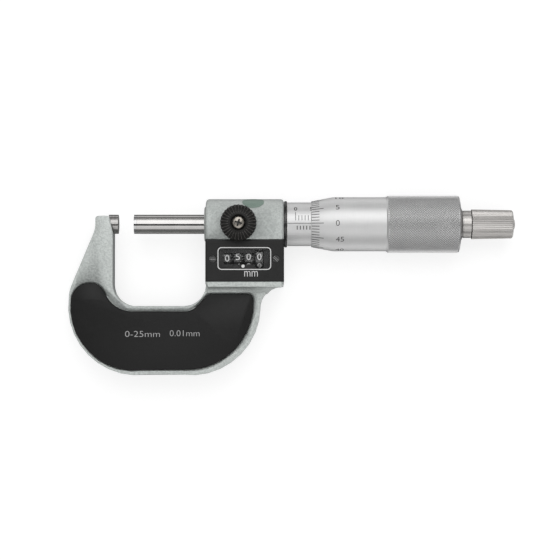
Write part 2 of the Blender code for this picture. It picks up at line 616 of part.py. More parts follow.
def build_frame():
    """C frame with the anvil boss and the hollow counter head, cast as one piece."""
    bm = bmesh.new()
    outline = rounded_outline(frame_corners())
    prism(bm, outline, -HALF_THICKNESS, HALF_THICKNESS)
    bevel_rims(bm, FRAME_EDGE_RADIUS, 2, 2, (-HALF_THICKNESS, HALF_THICKNESS))
    frame = new_object("frame", bm, ENAMEL)

    bm = bmesh.new()
    prism(bm, head_section(), HEAD_LEFT, HEAD_RIGHT, "X")
    bevel_rims(bm, HEAD_EDGE_RADIUS, 2, 0, (HEAD_LEFT, HEAD_RIGHT))
    head = new_object("head_block", bm)

    corner = HEAD_RIGHT - FRAME_RIGHT
    neck = wedge("neck_block",
                 (HEAD_LEFT + HEAD_EDGE_RADIUS, HEAD_RIGHT - corner / 3,
                  HEAD_BOTTOM + HEAD_EDGE_RADIUS / 2, HEAD_RADIUS - HEAD_EDGE_RADIUS / 2),
                 (HEAD_LEFT + HEAD_EDGE_RADIUS, HEAD_RIGHT - corner * 0.7,
                  HEAD_BOTTOM - NECK_HEIGHT, HALF_THICKNESS - FRAME_EDGE_RADIUS))

    boss = turned("spindle_boss", [
        (HEAD_LEFT - SPINDLE_BOSS_HEIGHT, 0),
        (HEAD_LEFT - SPINDLE_BOSS_HEIGHT, SPINDLE_BOSS_RADIUS - SPINDLE_BOSS_HEIGHT),
        (HEAD_LEFT + SPINDLE_BOSS_HEIGHT, SPINDLE_BOSS_RADIUS + SPINDLE_BOSS_HEIGHT),
        (HEAD_LEFT + SPINDLE_BOSS_HEIGHT, 0)], segments=MEDIUM)
    lock_boss = bar("lock_boss", SPINDLE_RADIUS + LOCK_PAD_HEIGHT, LOCK_SEAT_Z, LOCK_BOSS_RADIUS,
                    (LOCK_X, 0, 0), "Z", MEDIUM)
    add(frame, head, neck, boss, lock_boss)

    seat = block("cover_seat", (HEAD_LEFT - OVER, COVER_BOTTOM - SLIDE_GAP, COVER_SEAT_Z),
                 (HEAD_RIGHT + OVER, COVER_TOP + SLIDE_GAP, LOCK_SEAT_Z + OVER))
    cavity = block("counter_cavity", (LEFT_EAR - SEAT_GAP, CAVITY_BOTTOM, BRACKET_BACK - SEAT_GAP),
                   (RIGHT_EAR + BRACKET_SHEET + SEAT_GAP, CAVITY_TOP, COVER_FRONT))
    bore_radius = SPINDLE_RADIUS + SLIDE_GAP
    bore = bar("spindle_bore", HEAD_LEFT - OVER, DRIVE_RIGHT, bore_radius, (0, 0, 0),
               segments=MEDIUM)
    pocket = bar("gear_pocket", POCKET_LEFT, INNER_SLEEVE_LEFT + OVER, POCKET_RADIUS, (0, 0, 0),
                 segments=MEDIUM)
    idler_pocket = bar("idler_pocket", POCKET_LEFT + TURN_GAP, DRIVE_RIGHT + TURN_GAP,
                       READ_MODULE * (IDLER_WHEEL_TEETH / 2 + 1) + TURN_GAP,
                       (0, IDLER_Y, IDLER_Z), segments=MEDIUM)
    sleeve_seat = bar("sleeve_seat", INNER_SLEEVE_LEFT, HEAD_RIGHT + OVER,
                      max(INNER_SLEEVE_RADIUS, POCKET_RADIUS) + SLIDE_GAP, (0, 0, 0),
                      segments=FINE)
    lock_bore = bar("lock_bore", 0, LOCK_SEAT_Z + OVER, LOCK_STEM_RADIUS + SLIDE_GAP,
                    (LOCK_X, 0, 0), "Z")
    anvil_seat = bar("anvil_seat", -ANVIL_LENGTH - SLIDE_GAP, OVER,
                     SPINDLE_RADIUS + SLIDE_GAP, (0, 0, 0), segments=MEDIUM)
    anvil_bore = bar("anvil_bore", -ANVIL_LENGTH - ANVIL_STEM_LENGTH - SLIDE_GAP,
                     -ANVIL_LENGTH, ANVIL_STEM_RADIUS + SLIDE_GAP, (0, 0, 0))
    recess = rounded_outline(plate_corners(-SEAT_GAP))
    recesses = [extruded("recess_" + side, recess, min(a, b), max(a, b)) for side, a, b in (
        ("front", HALF_THICKNESS - PLATE_RECESS, HALF_THICKNESS + OVER),
        ("rear", -HALF_THICKNESS + PLATE_RECESS, -HALF_THICKNESS - OVER))]
    holes = [bar(name + "_hole", COVER_SEAT_Z - COVER_SCREW_DEPTH - SEAT_GAP,
                 COVER_SEAT_Z + OVER, COVER_SCREW_SHANK_RADIUS + SLIDE_GAP,
                 (x, COVER_SCREW_Y, 0), "Z", 12)
             for name, (x, _) in COVER_SCREWS.items()]
    holes += [bar(f"bracket_hole_{i}", BRACKET_BACK - SEAT_GAP - BRACKET_SCREW_DEPTH,
                  BRACKET_BACK, BRACKET_SCREW_RADIUS + SLIDE_GAP, (x, y, 0), "Z", 12)
              for i, (x, y) in enumerate(bracket_screw_places())]
    cut(frame, seat, cavity, bore, pocket, idler_pocket, sleeve_seat, lock_bore,
        anvil_seat, anvil_bore, *recesses, *holes)


def build_grip_plates():
    """Two moulded plates that keep the hand's warmth off the frame."""
    outline = rounded_outline(plate_corners(0.0))
    seat = HALF_THICKNESS - PLATE_RECESS + SEAT_GAP / 3
    for name, side in (("front_grip_plate", 1), ("rear_grip_plate", -1)):
        bm = bmesh.new()
        low, high = sorted((side * seat, side * (seat + PLATE_THICKNESS)))
        prism(bm, outline, low, high)
        bevel_rims(bm, PLATE_EDGE_RADIUS, 1, 2, (side * (seat + PLATE_THICKNESS),))
        new_object(name, bm, BLACK_PLASTIC)


def build_anvil():
    """Hardened anvil in the frame's boss, with its brazed carbide face."""
    back = -ANVIL_LENGTH - ANVIL_STEM_LENGTH
    front = -TIP_LENGTH - BRAZE_GAP
    turned("anvil", [
        (back, 0), (back, ANVIL_STEM_RADIUS), (-ANVIL_LENGTH, ANVIL_STEM_RADIUS),
        (-ANVIL_LENGTH, SPINDLE_RADIUS), (front, SPINDLE_RADIUS), (front, 0)], GROUND_STEEL)
    turned("anvil_tip", [(-TIP_LENGTH, 0), (-TIP_LENGTH, SPINDLE_RADIUS), (0, SPINDLE_RADIUS),
                         (0, 0)], CARBIDE)


def build_counter_cover():
    """Black cover over the counter, with its clear window and two slotted screws."""
    bm = bmesh.new()
    corners = [(HEAD_LEFT, COVER_BOTTOM), (HEAD_RIGHT + SLIDE_GAP, COVER_BOTTOM),
               (HEAD_RIGHT + SLIDE_GAP, COVER_TOP), (HEAD_LEFT, COVER_TOP)]
    prism(bm, corners, COVER_BACK, COVER_FRONT)
    bevel_rims(bm, COVER_EDGE_RADIUS, 2, 2, (COVER_FRONT,))
    cover = new_object("counter_cover", bm, BLACK_PLASTIC)

    window_back = COVER_FRONT - WINDOW_THICKNESS - SEAT_GAP / 3
    floor_back = window_back - WINDOW_FLOOR
    hollow = block("cover_hollow",
                   (WHEEL_XS[0] - RIM_HALF - SEAT_GAP, COUNTER_Y - WHEEL_RADIUS,
                    COVER_BACK - OVER),
                   (WHEEL_XS[-1] + RIM_HALF + SEAT_GAP, CAVITY_TOP - 2 * SEAT_GAP, floor_back))
    lens_corners = ((WINDOW_LEFT, WINDOW_BOTTOM, WINDOW_CORNER),
                    (WINDOW_RIGHT, WINDOW_BOTTOM, WINDOW_CORNER),
                    (WINDOW_RIGHT, WINDOW_TOP, WINDOW_CORNER),
                    (WINDOW_LEFT, WINDOW_TOP, WINDOW_CORNER))
    grown = [(x + math.copysign(TURN_GAP, x - WHEEL_XS[1]),
              y + math.copysign(TURN_GAP, y - COUNTER_Y), r + TURN_GAP)
             for x, y, r in lens_corners]
    recess = extruded("window_recess", rounded_outline(grown), window_back, COVER_FRONT + OVER)
    aperture_left = WHEEL_XS[0] - RIM_HALF + APERTURE_SIDE / 3
    aperture_right = WHEEL_XS[-1] + RIM_HALF + APERTURE_SIDE
    aperture = block("aperture", (aperture_left, COUNTER_Y - APERTURE_BELOW, floor_back - OVER),
                     (aperture_right, COUNTER_Y + APERTURE_ABOVE, window_back + OVER))
    last_left = WHEEL_XS[-1] - RIM_HALF - APERTURE_SIDE / 2
    last_aperture = block("last_aperture",
                          (last_left, COUNTER_Y - LAST_APERTURE_BELOW, floor_back - OVER / 2),
                          (aperture_right, COUNTER_Y + LAST_APERTURE_ABOVE,
                           window_back + OVER / 2))
    cuts = [hollow, recess, aperture, last_aperture]
    extruded("window_lens", rounded_outline(lens_corners), COVER_FRONT - WINDOW_THICKNESS,
             COVER_FRONT, CLEAR)

    head_foot = COVER_FRONT - COVER_SCREW_HEAD
    y = COVER_SCREW_Y
    for name, (x, turn) in COVER_SCREWS.items():
        sink = bar(name + "_sink", head_foot - SLIDE_GAP, COVER_FRONT + OVER,
                   COVER_SCREW_RADIUS + SLIDE_GAP, (x, y, 0), "Z")
        hole = bar(name + "_way", COVER_BACK - OVER, COVER_FRONT,
                   COVER_SCREW_SHANK_RADIUS + SLIDE_GAP, (x, y, 0), "Z", 12)
        cuts += [sink, hole]
        end = COVER_SEAT_Z - COVER_SCREW_DEPTH
        screw = turned(name, [(end, 0), (end, COVER_SCREW_SHANK_RADIUS),
                              (head_foot, COVER_SCREW_SHANK_RADIUS),
                              (head_foot, COVER_SCREW_RADIUS),
                              (COVER_FRONT, COVER_SCREW_RADIUS), (COVER_FRONT, 0)],
                       BLACK_OXIDE, (x, y, 0), COARSE, "Z")
        slot = block(name + "_slot", (-2 * COVER_SCREW_RADIUS, -SLOT_WIDTH / 2, 0),
                     (2 * COVER_SCREW_RADIUS, SLOT_WIDTH / 2, OVER),
                     None, turn, (x, y, COVER_FRONT - SLOT_DEPTH))
        cut(screw, slot)
    cut(cover, *cuts)


def build_sleeves():
    """Collar, inner sleeve with the spindle's nut, graduated sleeve and taper nut."""
    radius = COLLAR_RADIUS
    bore = INNER_SLEEVE_RADIUS + SLIDE_GAP
    edge = COLLAR_WIDTH / 4
    turned("sleeve_collar", [
        (COLLAR_LEFT, bore), (COLLAR_LEFT, radius - edge), (COLLAR_LEFT + edge, radius),
        (COLLAR_RIGHT - edge, radius), (COLLAR_RIGHT, radius - edge), (COLLAR_RIGHT, bore)],
        BLACK_OXIDE, segments=FINE)
    turned("outer_sleeve", [
        (SLEEVE_LEFT, bore), (SLEEVE_LEFT, SLEEVE_RADIUS), (SLEEVE_RIGHT, SLEEVE_RADIUS),
        (SLEEVE_RIGHT, bore)], SATIN_CHROME, segments=FINE)

    nut_left = INNER_SLEEVE_RIGHT - NUT_BORE_LENGTH
    thread = NUT_THREAD_DIAMETER / 2
    inner = INNER_SLEEVE_BORE / 2
    nut_bore = THREAD_RADIUS + SLIDE_GAP
    sleeve = turned("inner_sleeve", [
        (INNER_SLEEVE_LEFT, inner), (INNER_SLEEVE_LEFT, INNER_SLEEVE_RADIUS),
        (SLEEVE_RIGHT, INNER_SLEEVE_RADIUS), (SLEEVE_RIGHT, thread),
        (INNER_SLEEVE_RIGHT, thread), (INNER_SLEEVE_RIGHT, nut_bore), (nut_left, nut_bore),
        (nut_left, inner)], GROUND_STEEL, segments=MEDIUM)
    slits = []
    for i in range(3):
        slit = block(f"nut_slit_{i}", (SLEEVE_RIGHT + SEAT_GAP, -NUT_SLIT_WIDTH / 2, 0),
                     (INNER_SLEEVE_RIGHT + OVER, NUT_SLIT_WIDTH / 2, thread + OVER))
        slit.rotation_euler = (math.tau * (i + 0.25) / 3, 0, 0)
        slits.append(slit)
    cut(sleeve, *slits)

    nut_middle = (SLEEVE_RIGHT + INNER_SLEEVE_RIGHT) / 2
    left = nut_middle - TAPER_NUT_WIDTH / 2
    right = nut_middle + TAPER_NUT_WIDTH / 2
    radius = TAPER_NUT_DIAMETER / 2
    nut = turned("taper_nut", [
        (left, thread + SLIDE_GAP), (left, radius), (right, radius),
        (right, thread + SLIDE_GAP)], GROUND_STEEL, segments=MEDIUM)
    notch = block("nut_notch", (right - TAPER_NUT_NOTCH, -TAPER_NUT_NOTCH / 2, -2 * radius),
                  (right + TAPER_NUT_NOTCH, TAPER_NUT_NOTCH / 2, 2 * radius))
    cut(nut, notch)


def taper_radius(x):
    """Radius of the spindle's clamping taper at a place along it."""
    share = (x - TAPER_LEFT) / TAPER_LENGTH
    return THREAD_RADIUS + (TAPER_END_RADIUS - THREAD_RADIUS) * share


def build_spindle():
    """Spindle with its keyway, thread and taper, and the brazed carbide face."""
    tip_right = READING + TIP_LENGTH
    left = tip_right + BRAZE_GAP
    hole = RATCHET_STUD_RADIUS + SLIDE_GAP
    hole_left = TAPER_RIGHT - RATCHET_STUD_LENGTH
    spindle = turned("spindle", [
        (left, 0), (left, SPINDLE_RADIUS), (THREAD_LEFT, SPINDLE_RADIUS),
        (THREAD_LEFT + THREAD_CHAMFER, THREAD_RADIUS), (TAPER_LEFT, THREAD_RADIUS),
        (TAPER_RIGHT, TAPER_END_RADIUS), (TAPER_RIGHT, hole), (hole_left, hole), (hole_left, 0)],
        GROUND_STEEL, segments=MEDIUM)
    turned("spindle_tip", [(READING, 0), (READING, SPINDLE_RADIUS), (tip_right, SPINDLE_RADIUS),
                           (tip_right, 0)], CARBIDE)
    key_x = (DRIVE_RIGHT + HUB_RIGHT) / 2
    margin = KEY_WIDTH
    keyway = block("keyway",
                   (key_x - MEASURING_RANGE + READING - margin, -KEY_WIDTH / 2 - TURN_GAP,
                    -2 * SPINDLE_RADIUS),
                   (key_x + READING + margin, KEY_WIDTH / 2 + TURN_GAP,
                    -SPINDLE_RADIUS + KEYWAY_DEPTH))
    cut(spindle, keyway)


def build_drive_gear():
    """Gear that the spindle slides through and turns by its key."""
    bore = SPINDLE_RADIUS + SLIDE_GAP
    bm = bmesh.new()
    outline = gear_outline(DRIVE_TEETH, DRIVE_MODULE, ADDENDUM, IDLER_ANGLE)
    prism(bm, outline, DRIVE_LEFT, DRIVE_RIGHT, "X")
    gear = new_object("drive_gear", bm, BRASS)
    hub = turned("drive_hub", [
        (POCKET_LEFT + SEAT_GAP, 0), (POCKET_LEFT + SEAT_GAP, DRIVE_BOSS_RADIUS),
        (DRIVE_LEFT + SLIDE_GAP, DRIVE_BOSS_RADIUS), (DRIVE_LEFT + SLIDE_GAP, DRIVE_HUB_RADIUS),
        (HUB_RIGHT, DRIVE_HUB_RADIUS), (HUB_RIGHT, 0)])
    add(gear, hub)
    key_x = (DRIVE_RIGHT + HUB_RIGHT) / 2
    key_radius = KEY_WIDTH / 2
    key_hole = bar("drive_key_hole", -2 * DRIVE_HUB_RADIUS, 0, key_radius + SLIDE_GAP,
                   (key_x, 0, 0), "Z", 16)
    cut(gear, bar("drive_bore", POCKET_LEFT, HUB_RIGHT + OVER, bore, (0, 0, 0),
                  segments=MEDIUM), key_hole)
    low = -DRIVE_HUB_RADIUS + SLIDE_GAP
    high = -SPINDLE_RADIUS + KEYWAY_DEPTH - TURN_GAP
    turned("drive_key", [(low, 0), (low, key_radius), (high, key_radius), (high, 0)],
           GROUND_STEEL, (key_x, 0, 0), 12, "Z")


def build_idler():
    """Compound idler: small pinion and larger wheel on a stud in the bracket."""
    place = (0, IDLER_Y, IDLER_Z)
    bm = bmesh.new()
    pinion = gear_outline(IDLER_PINION_TEETH, DRIVE_MODULE, ADDENDUM,
                          IDLER_ANGLE + math.pi + math.pi / IDLER_PINION_TEETH)
    prism(bm, pinion, READ_RIGHT - SLIDE_GAP, DRIVE_RIGHT, "X")
    idler = new_object("idler_gear", bm, BRASS, place)
    to_counter = math.atan2(COUNTER_Z - IDLER_Z, COUNTER_Y - IDLER_Y)
    wheel = extruded("idler_wheel",
                     gear_outline(IDLER_WHEEL_TEETH, READ_MODULE, ADDENDUM, to_counter),
                     READ_LEFT, READ_RIGHT, None, place, "X")
    add(idler, wheel)
    hole = bar("idler_hole", READ_LEFT - OVER, DRIVE_RIGHT + OVER,
               IDLER_STUD_RADIUS + TURN_GAP, place, segments=12)
    cut(idler, hole)
    end = RIGHT_EAR + BRACKET_SHEET
    turned("idler_stud", [(READ_LEFT, 0), (READ_LEFT, IDLER_STUD_RADIUS),
                          (end, IDLER_STUD_RADIUS), (end, 0)], GROUND_STEEL, place, 12)


def build_wheels():
    """Four number wheels: rim, transfer gear on the right, carry disc on the left."""
    place = (0, COUNTER_Y, COUNTER_Z)
    tip_reach = TRANSFER_CENTRES - PINION_TIP - TURN_GAP
    bore = COUNTER_SHAFT_RADIUS + TURN_GAP
    to_idler = math.atan2(IDLER_Z - COUNTER_Z, IDLER_Y - COUNTER_Y)
    for i, (name, x) in enumerate(zip(WHEEL_NAMES, WHEEL_XS)):
        left = x - RIM_HALF
        right = x + RIM_HALF
        wheel = turned(name, [(left, 0), (left, WHEEL_RADIUS), (right, WHEEL_RADIUS), (right, 0)],
                       NUMBER_BLACK, place, 40)
        if name == WHEEL_NAMES[-1]:
            outline = gear_outline(READ_GEAR_TEETH, READ_MODULE, ADDENDUM,
                                   to_idler + math.pi / READ_GEAR_TEETH)
            gear_right = READ_RIGHT
        else:
            outline = gear_outline(TRANSFER_GEAR_TEETH, TRANSFER_MODULE, TRANSFER_ADDENDUM,
                                   TRANSFER_ANGLE)
            gear_right = right + TRANSFER_GEAR_WIDTH
        gear = extruded(name + "_gear", outline, right - SEAT_GAP, gear_right, None, place, "X")
        pieces = [gear]
        if i:
            disc_left = left - CARRY_WIDTH
            disc = bar(name + "_carry", disc_left, left + SEAT_GAP, CARRY_DISC_RADIUS, place)
            lugs = [block(f"{name}_lug_{side}",
                          (disc_left, side * 1.1 * CARRY_LUG_WIDTH - CARRY_LUG_WIDTH / 2, 0),
                          (left + SEAT_GAP / 2, side * 1.1 * CARRY_LUG_WIDTH
                           + CARRY_LUG_WIDTH / 2, tip_reach - TURN_GAP), None, 0.0, place)
                    for side in (-1, 1)]
            pieces += [disc, *lugs]
        add(wheel, *pieces)
        cut(wheel, bar(name + "_bore", left - 2 * OVER, gear_right + OVER, bore, place,
                       segments=12))


def build_transfer():
    """Carry pinions between the wheels, loose on their own shaft."""
    place = (0, TRANSFER_Y, TRANSFER_Z)
    phase = TRANSFER_ANGLE + math.pi + math.pi / TRANSFER_PINION_TEETH
    outline = gear_outline(TRANSFER_PINION_TEETH, TRANSFER_MODULE, TRANSFER_ADDENDUM, phase)
    for i, x in enumerate(WHEEL_XS[:-1]):
        left = x + RIM_HALF + TURN_GAP
        right = x + WHEEL_PITCH - RIM_HALF - TURN_GAP
        pinion = extruded(f"transfer_pinion_{i + 1}", outline, left, right, BRASS, place, "X")
        cut(pinion, bar(f"transfer_hole_{i + 1}", left - OVER, right + OVER,
                        TRANSFER_SHAFT_RADIUS + TURN_GAP, place, segments=12))
    for name, centre, radius in (("counter_shaft", (0, COUNTER_Y, COUNTER_Z),
                                  COUNTER_SHAFT_RADIUS),
                                 ("transfer_shaft", place, TRANSFER_SHAFT_RADIUS)):
        end = RIGHT_EAR + BRACKET_SHEET
        turned(name, [(LEFT_EAR, 0), (LEFT_EAR, radius), (end, radius), (end, 0)],
               GROUND_STEEL, centre, 12)


def bracket_screw_places():
    """Where the counter's bracket is screwed to the head's back wall."""
    y = CAVITY_BOTTOM + SEAT_GAP + BRACKET_SCREW_HEAD_RADIUS
    return [(WHEEL_XS[0], y), (WHEEL_XS[-1], y)]


def build_bracket():
    """Folded sheet bracket that carries the counter's shafts, and its screws."""
    low = (LEFT_EAR, CAVITY_BOTTOM + SEAT_GAP, BRACKET_BACK)
    high = (RIGHT_EAR + BRACKET_SHEET, CAVITY_TOP - SEAT_GAP,
            COUNTER_Z + COUNTER_SHAFT_RADIUS + BRACKET_EAR_MARGIN)
    bracket = block("counter_bracket", low, high, SATIN_CHROME)
    inside = block("bracket_inside", (low[0] + BRACKET_SHEET, low[1] - OVER, BRACKET_FRONT),
                   (high[0] - BRACKET_SHEET, high[1] + OVER, high[2] + OVER))
    cuts = [inside]
    for name, x_low, y, z, radius in (
            ("counter", low[0] - OVER, COUNTER_Y, COUNTER_Z, COUNTER_SHAFT_RADIUS),
            ("transfer", low[0] - OVER, TRANSFER_Y, TRANSFER_Z, TRANSFER_SHAFT_RADIUS),
            ("idler", RIGHT_EAR - TURN_GAP, IDLER_Y, IDLER_Z, IDLER_STUD_RADIUS)):
        cuts.append(bar(name + "_shaft_hole", x_low, high[0] + OVER, radius + SLIDE_GAP,
                        (0, y, z), segments=12))
    foot = BRACKET_BACK - SEAT_GAP - BRACKET_SCREW_DEPTH + SLIDE_GAP
    shoulder = BRACKET_FRONT + SLIDE_GAP
    top = shoulder + BRACKET_SCREW_HEAD
    for side, (x, y) in zip(("left", "right"), bracket_screw_places()):
        name = "bracket_screw_" + side
        cuts.append(bar(name + "_way", BRACKET_BACK - OVER, shoulder,
                        BRACKET_SCREW_RADIUS + SLIDE_GAP, (x, y, 0), "Z", 12))
        turned(name, [(foot, 0), (foot, BRACKET_SCREW_RADIUS), (shoulder, BRACKET_SCREW_RADIUS),
                      (shoulder, BRACKET_SCREW_HEAD_RADIUS), (top, BRACKET_SCREW_HEAD_RADIUS),
                      (top, 0)], NICKEL, (x, y, 0), 12, "Z")
    cut(bracket, *cuts)


def build_thimble():
    """Graduated thimble with a bevelled edge, a knurl band and a hub on the taper."""
    edge = THIMBLE_EDGE_DIAMETER / 2
    plain = THIMBLE_DIAMETER / 2
    knurl = KNURL_DIAMETER / 2
    lip = SLEEVE_RADIUS + TURN_GAP
    bore = THIMBLE_BORE / 2
    lip_end = THIMBLE_LEFT + THIMBLE_LIP_LENGTH
    flange_seat = NECK_LEFT - RATCHET_FLANGE_LENGTH - SEAT_GAP
    flange_bore = RATCHET_FLANGE_RADIUS + TURN_GAP
    crown = [(KNURL_RIGHT, knurl)]
    steps = 4
    for step in range(1, steps + 1):
        share = step / steps
        crown.append((KNURL_RIGHT + THIMBLE_CROWN * math.sin(share * math.pi / 2),
                      knurl - (knurl - THIMBLE_CROWN_RADIUS) * (1 - math.cos(share * math.pi / 2))))
    profile = [
        (THIMBLE_LEFT, lip), (THIMBLE_LEFT, edge), (THIMBLE_PLAIN_LEFT, plain),
        (KNURL_LEFT, plain), (KNURL_LEFT + KNURL_STEP, knurl), *crown,
        (THIMBLE_RIGHT, flange_bore), (flange_seat, flange_bore),
        (flange_seat, taper_radius(flange_seat) + SLIDE_GAP),
        (HUB_LEFT, taper_radius(HUB_LEFT) + SLIDE_GAP), (HUB_LEFT, bore), (lip_end, bore),
        (lip_end - THREAD_CHAMFER, lip)]
    turned("thimble", profile, SATIN_CHROME, segments=FINE)


def build_ratchet():
    """Ratchet stop: body screwed in the spindle, fluted knob, click ring, spring, screw."""
    flange_left = NECK_LEFT - RATCHET_FLANGE_LENGTH
    stud_left = TAPER_RIGHT - RATCHET_STUD_LENGTH + SLIDE_GAP
    spigot_right = KNOB_INNER_RIGHT - SLIDE_GAP
    hole = RATCHET_SCREW_RADIUS + SLIDE_GAP
    hole_left = spigot_right - 4 * RATCHET_SCREW_RADIUS
    body = turned("ratchet_body", [
        (stud_left, 0), (stud_left, RATCHET_STUD_RADIUS), (flange_left, RATCHET_STUD_RADIUS),
        (flange_left, RATCHET_FLANGE_RADIUS), (NECK_LEFT, RATCHET_FLANGE_RADIUS),
        (NECK_LEFT, NECK_DIAMETER / 2), (NECK_RIGHT, NECK_DIAMETER / 2),
        (NECK_RIGHT, RATCHET_SPIGOT_RADIUS), (spigot_right, RATCHET_SPIGOT_RADIUS),
        (spigot_right, hole), (hole_left, hole), (hole_left, 0)], SATIN_CHROME)
    add(body, click_teeth("body_teeth", NECK_RIGHT, CLICK_TOOTH_HEIGHT, KNOB_BORE))

    bm = bmesh.new()
    crest = RATCHET_KNOB_DIAMETER / 2
    end = RATCHET_KNOB_END_DIAMETER / 2
    stations = [(KNOB_LEFT, crest, FLUTE_DEPTH), (KNOB_RIGHT - RATCHET_KNOB_DOME, end, FLUTE_DEPTH),
                (KNOB_RIGHT - RATCHET_KNOB_DOME / 2, end - RATCHET_KNOB_DOME / 2, 0.0),
                (KNOB_RIGHT, RATCHET_SCREW_HEAD_RADIUS + 2 * SLIDE_GAP, 0.0)]
    rings = []
    for x, radius, depth in stations:
        ring = []
        for i in range(2 * FLUTE_COUNT):
            inset = depth if i % 2 else 0.0
            ring.append(bm.verts.new(ring_point(radius - inset, math.pi * i / FLUTE_COUNT, x, "X")))
        rings.append(ring)
    for first, second in zip(rings, rings[1:]):
        for i in range(len(first)):
            bm.faces.new((first[i - 1], first[i], second[i], second[i - 1]))
    bm.faces.new(rings[0])
    bm.faces.new(rings[-1])
    knob = new_object("ratchet_knob", bm, SATIN_CHROME)
    head_left = KNOB_RIGHT - RATCHET_SCREW_HEAD_HEIGHT - SLIDE_GAP
    cut(knob,
        bar("knob_bore", KNOB_LEFT - OVER, KNOB_INNER_RIGHT, KNOB_BORE, (0, 0, 0),
            segments=MEDIUM),
        bar("knob_spigot_way", KNOB_INNER_RIGHT - OVER, KNOB_RIGHT, hole + TURN_GAP, (0, 0, 0)),
        bar("knob_screw_sink", head_left, KNOB_RIGHT + OVER,
            RATCHET_SCREW_HEAD_RADIUS + SLIDE_GAP, (0, 0, 0)))

    ring = turned("click_ring", [
        (CLICK_LEFT, RATCHET_SPIGOT_RADIUS + TURN_GAP), (CLICK_LEFT, KNOB_BORE - SLIDE_GAP),
        (CLICK_RIGHT, KNOB_BORE - SLIDE_GAP), (CLICK_RIGHT, RATCHET_SPIGOT_RADIUS + TURN_GAP)],
        GROUND_STEEL)
    add(ring, click_teeth("ring_teeth", CLICK_LEFT, -CLICK_TOOTH_HEIGHT, KNOB_BORE))

    build_spring()
    screw_left = hole_left + SLIDE_GAP
    head_left += SLIDE_GAP / 2
    screw = turned("ratchet_screw", [
        (screw_left, 0), (screw_left, RATCHET_SCREW_RADIUS), (head_left, RATCHET_SCREW_RADIUS),
        (head_left, RATCHET_SCREW_HEAD_RADIUS), (KNOB_RIGHT, RATCHET_SCREW_HEAD_RADIUS),
        (KNOB_RIGHT, 0)], SATIN_CHROME, segments=COARSE)
    cut(screw, block("ratchet_screw_slot", (KNOB_RIGHT - SLOT_DEPTH, -2 * RATCHET_SCREW_HEAD_RADIUS,
                                            -SLOT_WIDTH / 2),
                     (KNOB_RIGHT + OVER, 2 * RATCHET_SCREW_HEAD_RADIUS, SLOT_WIDTH / 2)))


def click_teeth(name, x, height, outer):
    """Ring of saw teeth on a face of the ratchet, joined to the piece behind it."""
    bm = bmesh.new()
    low = RATCHET_SPIGOT_RADIUS + 3 * TURN_GAP
    high = outer - 3 * TURN_GAP
    back = x - math.copysign(SEAT_GAP / 2, height)
    step = math.tau / CLICK_TEETH
    for i in range(CLICK_TEETH):
        start = i * step
        stop = start + step * 0.9
        verts = [bm.verts.new(ring_point(radius, angle, place, "X"))
                 for radius in (low, high)
                 for angle, place in ((start, back), (stop, back), (start, x + height))]
        bm.faces.new((verts[0], verts[1], verts[2]))
        bm.faces.new((verts[3], verts[5], verts[4]))
        bm.faces.new((verts[0], verts[3], verts[4], verts[1]))
        bm.faces.new((verts[1], verts[4], verts[5], verts[2]))
        bm.faces.new((verts[2], verts[5], verts[3], verts[0]))
    return new_object(name, bm)


def build_spring():
    """Coil spring that presses the click ring on the body's teeth."""
    low = CLICK_RIGHT + SPRING_WIRE / 2 + TURN_GAP
    high = KNOB_INNER_RIGHT - SPRING_WIRE / 2 - TURN_GAP
    radius = (RATCHET_SPIGOT_RADIUS + KNOB_BORE) / 2
    per_turn = 12
    curve = bpy.data.curves.new("ratchet_spring", "CURVE")
    curve.dimensions = "3D"
    curve.bevel_depth = SPRING_WIRE / 2
    curve.bevel_resolution = 1
    curve.use_fill_caps = True
    spline = curve.splines.new("POLY")
    count = per_turn * SPRING_TURNS + 1
    spline.points.add(count - 1)
    for i in range(count):
        share = i / (count - 1)
        x, y, z = ring_point(radius, math.tau * i / per_turn, low + (high - low) * share, "X")
        spline.points[i].co = (x, y, z, 1)
    made = bpy.data.objects.new("ratchet_spring", curve)
    curve.materials.append(material("ratchet_spring", *GROUND_STEEL))
    bpy.context.scene.collection.objects.link(made)


